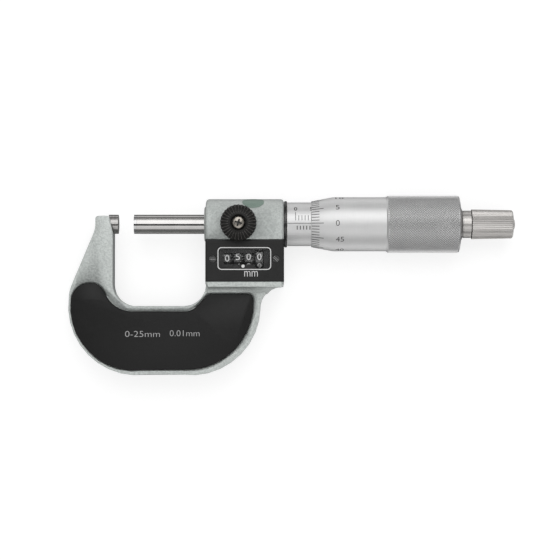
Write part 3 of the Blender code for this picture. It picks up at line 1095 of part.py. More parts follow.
def build_lock():
    """Serrated lock knob with its screw, the threaded stem and the brass pad."""
    place = (LOCK_X, 0, 0)
    outer = LOCK_KNOB_DIAMETER / 2
    shoulder = KNOB_TOP_Z - LOCK_KNOB_CROWN
    bm = bmesh.new()
    rings = []
    stations = ((KNOB_FOOT_Z, outer - SEAT_GAP, 0.0, 0.0),
                (KNOB_FOOT_Z + SEAT_GAP, outer, SERRATION_DEPTH, 0.0),
                (shoulder, outer, SERRATION_DEPTH, 2 * SERRATION_DEPTH),
                (KNOB_TOP_Z, SERRATION_INNER_RADIUS, 0.0, 0.0))
    for z, radius, inset, drop in stations:
        ring = []
        for i in range(2 * SERRATION_COUNT):
            odd = i % 2
            ring.append(bm.verts.new(ring_point(radius - odd * inset,
                                                math.pi * i / SERRATION_COUNT, z - odd * drop, "Z")))
        rings.append(ring)
    for first, second in zip(rings, rings[1:]):
        for i in range(len(first)):
            bm.faces.new((first[i - 1], first[i], second[i]))
            bm.faces.new((first[i - 1], second[i], second[i - 1]))
    bm.faces.new(rings[0])
    bm.faces.new(rings[-1])
    knob = new_object("lock_knob", bm, BLACK_PLASTIC, place)
    floor = KNOB_TOP_Z - LOCK_COUNTERBORE_DEPTH
    cut(knob,
        bar("knob_counterbore", floor, KNOB_TOP_Z + OVER, LOCK_COUNTERBORE_RADIUS, place, "Z"),
        bar("knob_screw_way", KNOB_FOOT_Z - OVER, KNOB_TOP_Z, LOCK_SCREW_RADIUS + SLIDE_GAP,
            place, "Z", 16),
        bar("knob_stem_socket", KNOB_FOOT_Z - OVER, STEM_TOP_Z + SLIDE_GAP,
            LOCK_STEM_RADIUS + SLIDE_GAP, place, "Z"))

    head_foot = floor + SLIDE_GAP
    head_top = head_foot + LOCK_SCREW_HEAD_HEIGHT
    screw_end = head_foot - LOCK_SCREW_LENGTH
    crown = []
    for step in range(4):
        angle = math.pi / 2 * step / 3
        crown.append((head_foot + LOCK_SCREW_HEAD_HEIGHT * (0.45 + 0.55 * math.sin(angle)),
                      LOCK_SCREW_HEAD_RADIUS * math.cos(angle)))
    crown[-1] = (head_top, 0)
    screw = turned("lock_screw", [
        (screw_end, 0), (screw_end, LOCK_SCREW_RADIUS), (head_foot, LOCK_SCREW_RADIUS),
        (head_foot, LOCK_SCREW_HEAD_RADIUS), *crown], NICKEL, place, COARSE, "Z")
    cut(screw, *[block(f"cross_{i}", (-CROSS_REACH, -CROSS_WIDTH / 2, 0),
                       (CROSS_REACH, CROSS_WIDTH / 2, LOCK_SCREW_HEAD_HEIGHT), None,
                       CROSS_TILT + i * math.pi / 2,
                       (LOCK_X, 0, head_foot + LOCK_SCREW_HEAD_HEIGHT / 3)) for i in range(2)])

    hole = LOCK_SCREW_RADIUS + SLIDE_GAP
    hole_foot = screw_end - SEAT_GAP
    turned("lock_stem", [
        (STEM_FOOT_Z, 0), (STEM_FOOT_Z, LOCK_STEM_RADIUS), (STEM_TOP_Z, LOCK_STEM_RADIUS),
        (STEM_TOP_Z, hole), (hole_foot, hole), (hole_foot, 0)],
        GROUND_STEEL, place, COARSE, "Z")
    turned("lock_pad", [(PAD_FOOT_Z, 0), (PAD_FOOT_Z, LOCK_PAD_RADIUS),
                        (PAD_TOP_Z, LOCK_PAD_RADIUS), (PAD_TOP_Z, 0)], BRASS, place, 16, "Z")


def main():
    for old in list(bpy.data.objects):
        bpy.data.objects.remove(old, do_unlink=True)
    build_frame()
    build_grip_plates()
    build_anvil()
    build_counter_cover()
    build_sleeves()
    build_spindle()
    build_drive_gear()
    build_idler()
    build_wheels()
    build_transfer()
    build_bracket()
    build_thimble()
    build_ratchet()
    build_lock()


main()
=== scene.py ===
"""Looks of an outside micrometer with a digit counter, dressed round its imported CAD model.

The spindle line is the X axis, the origin is the centre of the anvil's measuring face, and
Z points to the viewer, who looks almost straight down on the tool as it lies on its back.
"""

import logging
import math
from contextlib import contextmanager
from dataclasses import dataclass
from enum import Enum
from typing import Callable, Iterable, Iterator, Mapping, Sequence

import bpy
from mathutils import Matrix, Vector


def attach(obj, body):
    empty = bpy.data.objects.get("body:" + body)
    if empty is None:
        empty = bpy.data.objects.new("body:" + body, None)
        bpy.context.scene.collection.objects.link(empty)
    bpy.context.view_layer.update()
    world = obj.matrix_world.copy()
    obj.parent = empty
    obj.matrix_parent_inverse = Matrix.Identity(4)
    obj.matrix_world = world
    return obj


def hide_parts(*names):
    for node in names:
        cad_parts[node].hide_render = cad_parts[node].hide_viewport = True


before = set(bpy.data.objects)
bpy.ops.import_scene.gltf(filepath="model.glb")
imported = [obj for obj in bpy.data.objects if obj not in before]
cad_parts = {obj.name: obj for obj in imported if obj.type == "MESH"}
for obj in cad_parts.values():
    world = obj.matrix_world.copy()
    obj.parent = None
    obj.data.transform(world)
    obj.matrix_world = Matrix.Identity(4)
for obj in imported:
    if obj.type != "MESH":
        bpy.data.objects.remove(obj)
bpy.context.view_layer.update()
LOG = logging.getLogger("micrometer")
MM = 0.001
CAPITAL_SHARE = 0.69  # share of the font size that a capital fills

Colour = tuple[float, float, float]
Point = tuple[float, float, float]
Flat = tuple[float, float]
Piece = bpy.types.Object
Material = bpy.types.Material
Tree = bpy.types.NodeTree
Socket = bpy.types.NodeSocket
Feed = float | tuple[float, ...] | Socket


class Body(Enum):
    """Moving bodies of the micrometer that pieces ride on."""

    FRAME = "frame"
    SPINDLE = "spindle"
    RATCHET = "ratchet"
    LOCK = "lock"
    TENS = "wheel_tens"
    UNITS = "wheel_units"
    TENTHS = "wheel_tenths"
    HUNDREDTHS = "wheel_hundredths"


class Grain(Enum):
    """Kinds of surface that the finishes are made of."""

    MOTTLED = "mottled"
    TURNED = "turned"
    MOULDED = "moulded"


# Shader nodes


def fill(tree: Tree, node: bpy.types.Node, inputs: Mapping[str | int, Feed]) -> None:
    """Sets a node's inputs.

    Args:
        tree: The node tree.
        node: The node.
        inputs: An input's name or number to its value, or to the socket that feeds it.
    """
    for name, value in inputs.items():
        if isinstance(value, Socket):
            tree.links.new(value, node.inputs[name])
        else:
            node.inputs[name].default_value = value


def add_node(tree: Tree, kind: str, inputs: Mapping[str | int, Feed],
             **settings: object) -> bpy.types.Node:
    """Adds a node.

    Args:
        tree: The node tree.
        kind: The node's type, as it stands behind ShaderNode.
        inputs: What its inputs get.
        settings: Its other values, such as its operation.

    Returns:
        The node.
    """
    node = tree.nodes.new("ShaderNode" + kind)
    for name, value in settings.items():
        setattr(node, name, value)
    fill(tree, node, inputs)
    return node


def maths(tree: Tree, operation: str, *values: Feed, clamp: bool = False) -> Socket:
    """Adds a sum or another operation.

    Args:
        tree: The node tree.
        operation: Its name in the Math node.
        values: What it works on.
        clamp: Whether the result is held between 0 and 1.

    Returns:
        The result's socket.
    """
    return add_node(tree, "Math", dict(enumerate(values)), operation=operation,
                    use_clamp=clamp).outputs["Value"]


def noise(tree: Tree, vector: Socket, scale: Feed, detail: float, roughness: float = 0.5) -> Socket:
    """Adds a noise texture.

    Args:
        tree: The node tree.
        vector: The place that it reads.
        scale: Texture scale, in cells a metre on Object coordinates.
        detail: Octaves.
        roughness: How strong the finer octaves are.

    Returns:
        The noise's socket.
    """
    return add_node(tree, "TexNoise", {"Vector": vector, "Scale": scale, "Detail": detail,
                                       "Roughness": roughness}).outputs["Fac"]


def remap(tree: Tree, value: Socket, low: float, high: float, to_low: float = 0.0,
          to_high: float = 1.0) -> Socket:
    """Maps a value from one range to another.

    Args:
        tree: The node tree.
        value: What is mapped.
        low: Start of the range read.
        high: End of the range read.
        to_low: Start of the range given.
        to_high: End of the range given.

    Returns:
        The mapped value's socket.
    """
    return add_node(tree, "MapRange", {
        "Value": value, "From Min": low, "From Max": high, "To Min": to_low,
        "To Max": to_high}).outputs["Result"]


def blend(tree: Tree, share: Feed, first: Feed, second: Feed, colours: bool = False,
          way: str = "MIX") -> Socket:
    """Mixes two numbers or two colours.

    Args:
        tree: The node tree.
        share: How much of the second one shows.
        first: The first one.
        second: The second one.
        colours: Whether they are colours.
        way: How colours are mixed.

    Returns:
        The mixed value's socket.
    """
    kind, start, result = ("RGBA", 6, 2) if colours else ("FLOAT", 2, 0)
    return add_node(tree, "Mix", {"Factor": share, start: first, start + 1: second},
                    data_type=kind, blend_type=way).outputs[result]


def new_group(name: str) -> Tree:
    """Starts a shader node group with the sockets that every grain has.

    Args:
        name: The group's name.

    Returns:
        The group, whose input and output nodes are named "in" and "out".
    """
    group = bpy.data.node_groups.new(name, "ShaderNodeTree")
    for side, kind, sockets in (
            ("INPUT", "Vector", ("Vector",)), ("INPUT", "Float", ("Scale", "Smooth", "Rough")),
            ("INPUT", "Color", ("Dark", "Light")), ("OUTPUT", "Color", ("Color",)),
            ("OUTPUT", "Float", ("Height", "Roughness"))):
        for socket in sockets:
            group.interface.new_socket(socket, in_out=side, socket_type="NodeSocket" + kind)
    group.nodes.new("NodeGroupInput").name = "in"
    group.nodes.new("NodeGroupOutput").name = "out"
    return group


def end_group(group: Tree, share: Socket, height: Socket) -> Tree:
    """Ends a group, with its colour and roughness blended by a share.

    Args:
        group: The group.
        share: How light and rough a place is.
        height: How high it is.

    Returns:
        The group.
    """
    source = group.nodes["in"].outputs
    fill(group, group.nodes["out"], {
        "Color": blend(group, share, source["Dark"], source["Light"], colours=True),
        "Height": height, "Roughness": blend(group, share, source["Smooth"], source["Rough"])})
    return group


def build_mottle() -> Tree:
    """Makes the group for hammered enamel and moulded plastic, with spots and broad clouds.

    Returns:
        The group.
    """
    group = new_group("mottle")
    place, scale = (group.nodes["in"].outputs[name] for name in ("Vector", "Scale"))
    spots = remap(group, noise(group, place, scale, 2.5, 0.55), 0.36, 0.64)
    broad = noise(group, place, maths(group, "MULTIPLY", scale, 0.09), 1.0)
    clouds = remap(group, broad, 0.3, 0.7, -0.16, 0.16)
    return end_group(group, maths(group, "ADD", spots, clouds, clamp=True), spots)


def build_turning() -> Tree:
    """Makes the group for fine rings round the X axis, as a lathe or grinder leaves them.

    Returns:
        The group.
    """
    group = new_group("turning")
    place, scale = (group.nodes["in"].outputs[name] for name in ("Vector", "Scale"))
    stretched = add_node(group, "VectorMath", {0: place, 1: (1.0, 0.03, 0.03)},
                         operation="MULTIPLY").outputs["Vector"]
    rings = remap(group, noise(group, stretched, scale, 3.0, 0.6), 0.3, 0.7)
    smudges = remap(group, noise(group, place, 160.0, 3.0, 0.6), 0.35, 0.7)
    half = maths(group, "MULTIPLY", smudges, 0.5)
    return end_group(group, maths(group, "MULTIPLY_ADD", rings, 0.5, half), rings)


GROUPS: dict[Grain, Tree] = {
    Grain.MOTTLED: build_mottle(),
    Grain.TURNED: build_turning(),
}
GROUPS[Grain.MOULDED] = GROUPS[Grain.MOTTLED]


def new_material(name: str, inputs: Mapping[str, Feed]) -> Material:
    """Makes a material.

    Args:
        name: Its name.
        inputs: What its shader's inputs get.

    Returns:
        The material.
    """
    made = bpy.data.materials.new(name)
    made.use_nodes = True
    fill(made.node_tree, made.node_tree.nodes["Principled BSDF"], inputs)
    return made


@dataclass(frozen=True)
class Finish:
    """One surface finish: a grain between two colours and two roughnesses."""

    name: str
    grain: Grain
    dark: Colour
    light: Colour
    smooth: float
    rough: float
    metallic: float = 0.0
    scale: float = 1500.0
    relief: float = 0.00001
    coat: float = 0.0
    specular: float = 0.5
    coat_roughness: float = 0.2

    def build(self) -> Material:
        """Makes the material, or gives back the one made before.

        Returns:
            The material.
        """
        name = self.name + "_finish"
        if name in bpy.data.materials:
            return bpy.data.materials[name]
        made = new_material(name, {
            "Metallic": self.metallic, "Specular IOR Level": self.specular,
            "Coat Weight": self.coat, "Coat Roughness": self.coat_roughness})
        tree = made.node_tree
        place = add_node(tree, "TexCoord", {}).outputs["Object"]
        effect = add_node(tree, "Group", {
            "Vector": place, "Scale": self.scale, "Dark": (*self.dark, 1.0),
            "Light": (*self.light, 1.0), "Smooth": self.smooth, "Rough": self.rough,
        }, node_tree=GROUPS[self.grain]).outputs
        bump = add_node(tree, "Bump", {"Strength": 1.0, "Distance": self.relief,
                                       "Height": effect["Height"]})
        fill(tree, tree.nodes["Principled BSDF"], {
            "Base Color": effect["Color"], "Roughness": effect["Roughness"],
            "Normal": bump.outputs["Normal"]})
        return made


def knurled(finish: Finish, dark: float, light: float) -> None:
    """Paints shade into a finish's grooves and a highlight onto its crests, by the mesh's "groove"
    values.

    Args:
        finish: What the crests and grooves are made of.
        dark: Brightness of the painted shade in the grooves.
        light: Brightness of the painted highlight on the crests.
    """
    tree = finish.build().node_tree
    shader = tree.nodes["Principled BSDF"]
    groove = add_node(tree, "Attribute", {}, attribute_name="groove").outputs["Fac"]
    plain = shader.inputs["Base Color"].links[0].from_socket
    shade = blend(tree, 1.0, plain, remap(tree, groove, 0.0, 1.0, light, dark),
                  colours=True, way="MULTIPLY")
    fill(tree, shader, {"Base Color": shade})


def grey(value: float, warm: float = 0.0) -> Colour:
    """A grey, made a little warmer or cooler."""
    return (value * (1 + warm), value, value * (1 - warm))


ENAMEL = Finish("hammered_enamel", Grain.MOTTLED, (0.475, 0.505, 0.49), (0.615, 0.65, 0.63),
                0.36, 0.5, 0.2, 1700.0, 0.00005, 0.2)
PLATE_PLASTIC = Finish("grip_plastic", Grain.MOULDED, grey(0.010), grey(0.016), 0.42, 0.6,
                       scale=4200.0, relief=0.000012, specular=0.25)
COVER_PLASTIC = Finish("cover_plastic", Grain.MOULDED, grey(0.014), grey(0.020), 0.38, 0.52,
                       scale=3600.0, relief=0.000006, specular=0.25)
KNOB_PLASTIC = Finish("knob_plastic", Grain.MOULDED, grey(0.007, 0.08), grey(0.012, 0.08), 0.38,
                      0.5, scale=3000.0, relief=0.000008, specular=0.25)
KNOB_CREST = Finish("knob_crest", Grain.MOULDED, grey(0.050, 0.05), grey(0.075, 0.05), 0.3, 0.42,
                    scale=3000.0, relief=0.000004, specular=0.4)
WHEEL_BLACK = Finish("number_wheel_black", Grain.MOULDED, grey(0.050), grey(0.070), 0.20, 0.27,
                     0.6, 1200.0, 0.0000001, specular=0.8)
# Lighter oxide on the cover screws' rims and slot edges: partly wear, partly a painted highlight
OXIDE_WEAR_AND_HIGHLIGHT = Finish("oxide_wear_and_highlight", Grain.MOTTLED, grey(0.36), grey(0.48), 0.3, 0.42, 0.8,
                    4000.0, 0.000002)
WHITE_PAINT = Finish("white_paint", Grain.MOULDED, grey(0.66), grey(0.76), 0.45, 0.6,
                     scale=5000.0, relief=0.000003)
GREY_PAINT = Finish("grey_paint", Grain.MOULDED, grey(0.36), grey(0.44), 0.45, 0.6,
                    scale=5000.0, relief=0.000003)
# Black of the engraved marks, also used as painted shade inside the lock screw's cross
ENGRAVING_AND_SHADE_BLACK = Finish("engraving_and_shade_black", Grain.MOULDED, grey(0.03), grey(0.06), 0.5, 0.7,
                        scale=5000.0, relief=0.000003, specular=0.2)
STICKER = Finish("sticker_green", Grain.MOTTLED, (0.19, 0.265, 0.225), (0.25, 0.325, 0.28),
                 0.4, 0.55, scale=3500.0, relief=0.000006)
SATIN_CHROME = Finish("satin_chrome", Grain.TURNED, grey(0.65), grey(0.73), 0.50, 0.57, 1.0,
                      9000.0, 0.0000006)
KNURL_CHROME = Finish("knurl_chrome", Grain.TURNED, grey(0.64), grey(0.70), 0.34, 0.42, 1.0,
                      5000.0, 0.0000005)
STOP_CHROME = Finish("stop_chrome", Grain.TURNED, grey(0.46, 0.03), grey(0.54, 0.03), 0.36, 0.46,
                     1.0, 6000.0, 0.0000005)
GROUND_STEEL = Finish("ground_steel", Grain.TURNED, grey(0.37, 0.02), grey(0.45, 0.02), 0.13,
                      0.19, 1.0, 12000.0, 0.0000001)
ANVIL_STEEL = Finish("anvil_steel", Grain.TURNED, grey(0.28, 0.02), grey(0.36, 0.02), 0.2, 0.28,
                     1.0, 12000.0, 0.0000001)
CARBIDE = Finish("lapped_carbide", Grain.TURNED, grey(0.38), grey(0.45), 0.13, 0.19, 1.0,
                 8000.0, 0.0000001)
BLUED = Finish("blued_steel", Grain.TURNED, grey(0.035), grey(0.07), 0.2, 0.32, 0.9,
               9000.0, 0.0000005)
OXIDE = Finish("black_oxide", Grain.MOTTLED, grey(0.03), grey(0.06), 0.3, 0.45, 0.5,
               4000.0, 0.000004)
NICKEL = Finish("nickel_plate", Grain.MOTTLED, (0.27, 0.25, 0.22), (0.40, 0.37, 0.33), 0.26,
                0.4, 1.0, 1500.0, 0.000003)
BRASS = Finish("cut_brass", Grain.TURNED, (0.50, 0.35, 0.13), (0.66, 0.49, 0.21), 0.25, 0.4,
               1.0, 6000.0, 0.0000006)


def build_clear() -> Material:
    """Makes the clear window's material, with a faint uneven haze.

    It bends camera rays alone, and lets all other light straight through to the wheels.

    Returns:
        The material.
    """
    made = new_material("clear_window", {
        "Base Color": (0.98, 0.99, 0.99, 1.0), "Transmission Weight": 1.0, "IOR": 1.12,
        "Roughness": 0.0})
    tree = made.node_tree
    smears = noise(tree, add_node(tree, "TexCoord", {}).outputs["Object"], 300.0, 2.0)
    dull = add_node(tree, "BsdfDiffuse", {"Color": (0.8, 0.8, 0.8, 1.0)})
    haze = add_node(tree, "MixShader", {
        0: remap(tree, smears, 0.3, 0.7, 0.008, 0.020),
        1: tree.nodes["Principled BSDF"].outputs["BSDF"], 2: dull.outputs["BSDF"]})
    through = add_node(tree, "BsdfTransparent", {})
    path = add_node(tree, "LightPath", {})
    choose = add_node(tree, "MixShader", {
        0: remap(tree, path.outputs["Is Camera Ray"], 0.0, 1.0, 1.0, 0.0),
        1: haze.outputs["Shader"], 2: through.outputs["BSDF"]})
    fill(tree, tree.nodes["Material Output"], {"Surface": choose.outputs["Shader"]})
    return made


# Mesh work


def deselect() -> None:
    """Leaves nothing selected."""
    bpy.ops.object.select_all(action="DESELECT")


def only(piece: Piece) -> None:
    """Selects one object and makes it the active one.

    Args:
        piece: The object.
    """
    deselect()
    piece.select_set(True)
    bpy.context.view_layer.objects.active = piece


@contextmanager
def editing(piece: Piece) -> Iterator[None]:
    """Opens a piece's mesh in edit mode with all of it selected, and closes it afterwards.

    Args:
        piece: The piece.

    Yields:
        Nothing.
    """
    only(piece)
    bpy.ops.object.mode_set(mode="EDIT")
    bpy.ops.mesh.select_all(action="SELECT")
    yield
    bpy.ops.object.mode_set(mode="OBJECT")


def new_object(name: str, data: bpy.types.ID) -> Piece:
    """Makes an object and links it to the scene.

    Args:
        name: Its name.
        data: Its mesh, light or camera.

    Returns:
        The object.
    """
    made = bpy.data.objects.new(name, data)
    bpy.context.scene.collection.objects.link(made)
    return made


def settle(piece: Piece, name: str) -> Piece:
    """Names a piece and puts its place into its mesh.

    Args:
        piece: The piece.
        name: Its name.

    Returns:
        The piece.
    """
    only(piece)
    bpy.ops.object.transform_apply(location=True, rotation=True, scale=True)
    piece.name = name
    piece.data.name = name
    return piece


def tidy_normals(piece: Piece) -> None:
    """Merges a piece's doubles and points its faces outwards.

    Args:
        piece: The piece.
    """
    with editing(piece):
        bpy.ops.mesh.remove_doubles(threshold=1e-7)
        bpy.ops.mesh.normals_make_consistent(inside=False)


def smooth(piece: Piece, degrees: float = 30.0) -> None:
    """Shades a piece smooth up to an edge angle."""
    only(piece)
    bpy.ops.object.shade_smooth_by_angle(angle=math.radians(degrees))


def joined(pieces: Sequence[Piece], name: str) -> Piece:
    """Joins objects into one piece.

    Args:
        pieces: The objects.
        name: The joined piece's name.

    Returns:
        The joined piece.
    """
    deselect()
    for piece in pieces:
        piece.select_set(True)
    bpy.context.view_layer.objects.active = pieces[0]
    bpy.ops.object.join()
    return settle(pieces[0], name)


def move_points(piece: Piece, rule: Callable[[Vector], Point]) -> None:
    """Moves every vertex of a piece by a rule on its place.

    Args:
        piece: The piece.
        rule: Gives a vertex's new place for its old one.
    """
    for vertex in piece.data.vertices:
        vertex.co = rule(vertex.co)
    piece.data.update()


def placed(piece: Piece, x: float, y: float, z: float) -> Piece:
    """Moves a piece's mesh by an offset and gives the piece back."""
    move_points(piece, lambda co: (co.x + x, co.y + y, co.z + z))
    return piece


def turned(piece: Piece, angle: float) -> Piece:
    """Turns a piece's mesh about the Z axis and gives the piece back."""
    move_points(piece, lambda co: tuple(Matrix.Rotation(angle, 3, "Z") @ co))
    return piece


def upright(piece: Piece, x: float, y: float = 0.0) -> Piece:
    """Stands a piece that was turned about the X axis up on a place, and gives it back."""
    move_points(piece, lambda co: (x + co.y, y + co.z, co.x))
    return piece


def in_mm(points: Iterable[Flat]) -> list[Flat]:
    """Points given in millimetres, in metres."""
    return [(x * MM, y * MM) for x, y in points]


def lathe(name: str, profile: Sequence[Flat], segments: int, closed: bool = True) -> Piece:
    """Turns a profile round the spindle line.

    Args:
        name: The piece's name.
        profile: Points of (x, radius) in order.
        segments: Steps round the axis.
        closed: Whether the last point joins the first.

    Returns:
        The turned piece.
    """
    mesh = bpy.data.meshes.new(name)
    count = len(profile)
    edges = [(i, i + 1) for i in range(count - 1)] + ([(count - 1, 0)] if closed else [])
    mesh.from_pydata([(x, 0.0, r) for x, r in profile], edges, [])
    piece = new_object(name, mesh)
    with editing(piece):
        bpy.ops.mesh.spin(steps=segments, angle=math.tau, center=(0, 0, 0), axis=(1, 0, 0))
    tidy_normals(piece)
    return piece


def slab(name: str, size: Point, centre: Point = (0, 0, 0), rounding: float = 0.0) -> Piece:
    """Makes a small block.

    Args:
        name: The piece's name.
        size: Its size along X, Y and Z.
        centre: Its centre.
        rounding: Bevel of its edges.

    Returns:
        The block.
    """
    deselect()
    bpy.ops.mesh.primitive_cube_add(size=1.0, location=centre, scale=size)
    piece = settle(bpy.context.object, name)
    if rounding:
        with editing(piece):
            bpy.ops.mesh.bevel(offset=rounding, segments=2, affect="EDGES")
    return piece


def level_cuts(piece: Piece, rows: int) -> None:
    """Cuts a flat piece at even levels of Y, so that it can follow a drum.

    Args:
        piece: The piece.
        rows: How many bands it is cut into.
    """
    low = min(vertex.co.y for vertex in piece.data.vertices)
    high = max(vertex.co.y for vertex in piece.data.vertices)
    with editing(piece):
        for row in range(1, rows):
            bpy.ops.mesh.select_all(action="SELECT")
            level = low + (high - low) * row / rows
            bpy.ops.mesh.bisect(plane_co=(0, level, 0), plane_no=(0, 1, 0))


def lettering(text: str, height: float, depth: float, weight: float = 0.0, rows: int = 0,
              align: str = "CENTER", width: float = 0.0) -> Piece:
    """Makes flat lettering as a mesh, centred on the origin in the XY plane.

    Args:
        text: The plain numbers or unit.
        height: Height of a capital, in metres.
        depth: Thickness, half above and half below Z = 0.
        weight: Stroke widening, as a share of the height.
        rows: Level cuts, so that the mesh can follow a drum.
        align: Where the origin lies along the line.
        width: Width of the whole line, or 0 for the font's own.

    Returns:
        The lettering.
    """
    deselect()
    bpy.ops.object.text_add(location=(0, 0, 0))
    curve = bpy.context.object.data
    curve.body = text
    curve.size = height / CAPITAL_SHARE
    curve.extrude = depth / 2
    curve.offset = weight * height
    curve.resolution_u = 3
    bpy.ops.object.convert(target="MESH")
    piece = bpy.context.object
    across = [vertex.co.x for vertex in piece.data.vertices]
    up = [vertex.co.y for vertex in piece.data.vertices]
    left, right, low, high = min(across), max(across), min(up), max(up)
    origin = left if align == "LEFT" else (left + right) / 2
    stretch = width / (right - left) if width else 1.0
    rise = height / (high - low)
    move_points(piece, lambda co: ((co.x - origin) * stretch,
                                   (co.y - (low + high) / 2) * rise, co.z))
    if rows:
        level_cuts(piece, rows)
    return piece


def wrap(piece: Piece, x: float, angle: float, radius: Callable[[float], float],
         centre: Flat = (0.0, 0.0), lift: float = 0.0) -> Piece:
    """Wraps a flat piece round an axis along X.

    Args:
        piece: A flat piece in the XY plane.
        x: Where the piece's origin goes along the axis.
        angle: Where it goes round the axis, from the front towards +Y.
        radius: Radius of the surface at a place along X.
        centre: The axis in Y and Z.
        lift: How far the piece's middle layer stands off the surface.

    Returns:
        The piece.
    """
    def place(co: Vector) -> Point:
        """Puts a point of the flat piece on the drum.

        Args:
            co: The point.

        Returns:
            Where it goes.
        """
        reach = radius(x + co.x)
        turn = angle + co.y / reach
        out = reach + lift + co.z
        return (x + co.x, centre[0] + out * math.sin(turn), centre[1] + out * math.cos(turn))

    move_points(piece, place)
    return piece


def disc(name: str, radius: float, depth: float, rounding: float) -> Piece:
    """Makes a flat round piece with a soft rim, centred on the origin.

    Args:
        name: The piece's name.
        radius: Its radius.
        depth: Its thickness.
        rounding: Bevel of its upper rim.

    Returns:
        The disc.
    """
    deselect()
    bpy.ops.mesh.primitive_cylinder_add(vertices=64, radius=radius, depth=depth)
    piece = settle(bpy.context.object, name)
    with editing(piece):
        bpy.ops.mesh.select_all(action="DESELECT")
    for edge in piece.data.edges:
        edge.select = all(piece.data.vertices[i].co.z > 0 for i in edge.vertices)
    bpy.ops.object.mode_set(mode="EDIT")
    bpy.ops.mesh.bevel(offset=rounding, segments=2, affect="EDGES")
    bpy.ops.object.mode_set(mode="OBJECT")
    return piece


def outline_ring(name: str, size: Flat, corner: float, line: float, depth: float) -> Piece:
    """Makes a flat rounded-rectangle line, centred on the origin.

    Args:
        name: The piece's name.
        size: Outer width and height.
        corner: Outer corner radius.
        line: Width of the line.
        depth: Its thickness.

    Returns:
        The ring.
    """
    deselect()
    bpy.ops.mesh.primitive_plane_add(size=1.0)
    bpy.context.object.scale = (*size, 1.0)
    piece = settle(bpy.context.object, name)
    with editing(piece):
        bpy.ops.mesh.bevel(offset=corner, segments=8, affect="VERTICES")
        bpy.ops.mesh.select_all(action="SELECT")
        bpy.ops.mesh.inset(thickness=line)
        bpy.ops.mesh.delete(type="FACE")
        bpy.ops.mesh.select_all(action="SELECT")
        bpy.ops.mesh.extrude_region_move(TRANSFORM_OT_translate={"value": (0, 0, depth)})
    tidy_normals(piece)
    return piece


def carve(piece: Piece, cutter: Piece) -> None:
    """Cuts one piece out of another and removes the cutter.

    Args:
        piece: The piece that is cut.
        cutter: The piece that cuts it.
    """
    only(piece)
    cut = piece.modifiers.new("cut", "BOOLEAN")
    cut.operation = "DIFFERENCE"
    cut.solver = "EXACT"
    cut.object = cutter
    bpy.ops.object.modifier_apply(modifier=cut.name)
    bpy.data.objects.remove(cutter, do_unlink=True)


def paint(piece: Piece, material: Material) -> None:
    """Gives a piece one material in place of those it had."""
    piece.data.materials.clear()
    piece.data.materials.append(material)


def paint_faces(piece: Piece, finish: Finish, rule: Callable[[Vector], bool]) -> None:
    """Gives some of a piece's faces a second finish.

    Args:
        piece: The piece.
        finish: The second finish.
        rule: Says of a face's centre whether the face gets it.
    """
    piece.data.materials.append(finish.build())
    for face in piece.data.polygons:
        face.material_index = int(rule(face.center))


def dress(finish: Finish, *nodes: str) -> None:
    """Gives CAD nodes their procedural finish.

    Args:
        finish: The finish.
        nodes: The nodes' names.
    """
    for node in nodes:
        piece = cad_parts[node]
        paint(piece, finish.build())
        smooth(piece)
        LOG.info("dressed %s with %s", node, finish.name)


def add_piece(piece: Piece, finish: Finish, body: Body) -> None:
    """Finishes a new piece.

    Args:
        piece: The piece.
        finish: Its finish.
        body: The body it rides on.
    """
    paint(piece, finish.build())
    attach(piece, body.value)
    LOG.info("built %s, %d faces, on %s", piece.name, len(piece.data.polygons), body.value)


@dataclass(frozen=True)
class FullCorners:
    """Fuller lower corners of the bow and its plates than the CAD's quarter circles."""

    centres: tuple[tuple[float, int], ...] = ((8.75 * MM, -1), (20.9 * MM, 1))
    centre_y: float = -23.65 * MM
    inner: float = 12.0 * MM
    plate_edge: float = 22.1 * MM
    rim: float = 23.1 * MM
    bulge: float = 1.22 * MM
    bulge_power: float = 0.85
    left_gain: float = 0.56 * MM
    left_power: float = 1.3
    right_loss: float = 0.70 * MM
    fade: float = 4.2 * MM

    def place(self, co: Vector) -> Point:
        """Fills a corner out.

        Args:
            co: A point of the bow or of a plate.

        Returns:
            Where it goes.
        """
        for centre_x, hand in self.centres:
            along, down = hand * (co.x - centre_x), self.centre_y - co.y
            out = math.hypot(along, down)
            if along <= 0 or down <= -self.fade or out <= self.inner:
                continue
            turn = math.atan2(down, along)
            swell = math.sin(2 * turn) ** self.bulge_power if down > 0 else 0.0
            total = self.bulge * swell
            if out < self.rim and hand < 0:
                low = min(1 + down / self.fade, 1.0)
                total += self.left_gain * math.cos(turn) ** self.left_power * low
            elif out < self.rim:
                total -= self.right_loss * swell
            share = min((out - self.inner) / (self.plate_edge - self.inner), 1.0)
            total *= share * share * (3 - 2 * share) / out
            return (co.x + hand * along * total, co.y - down * total, co.z)
        return tuple(co)

    def remake(self, node: str, name: str, finish: Finish) -> None:
        """Makes the piece that stands for a node with fuller corners.

        Args:
            node: The CAD node.
            name: The new piece's name.
            finish: Its finish.
        """
        piece = new_object(name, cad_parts[node].data.copy())
        piece.data.name = name
        tidy_normals(piece)
        move_points(piece, self.place)
        smooth(piece, 25)
        add_piece(piece, finish, Body.FRAME)
        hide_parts(node)


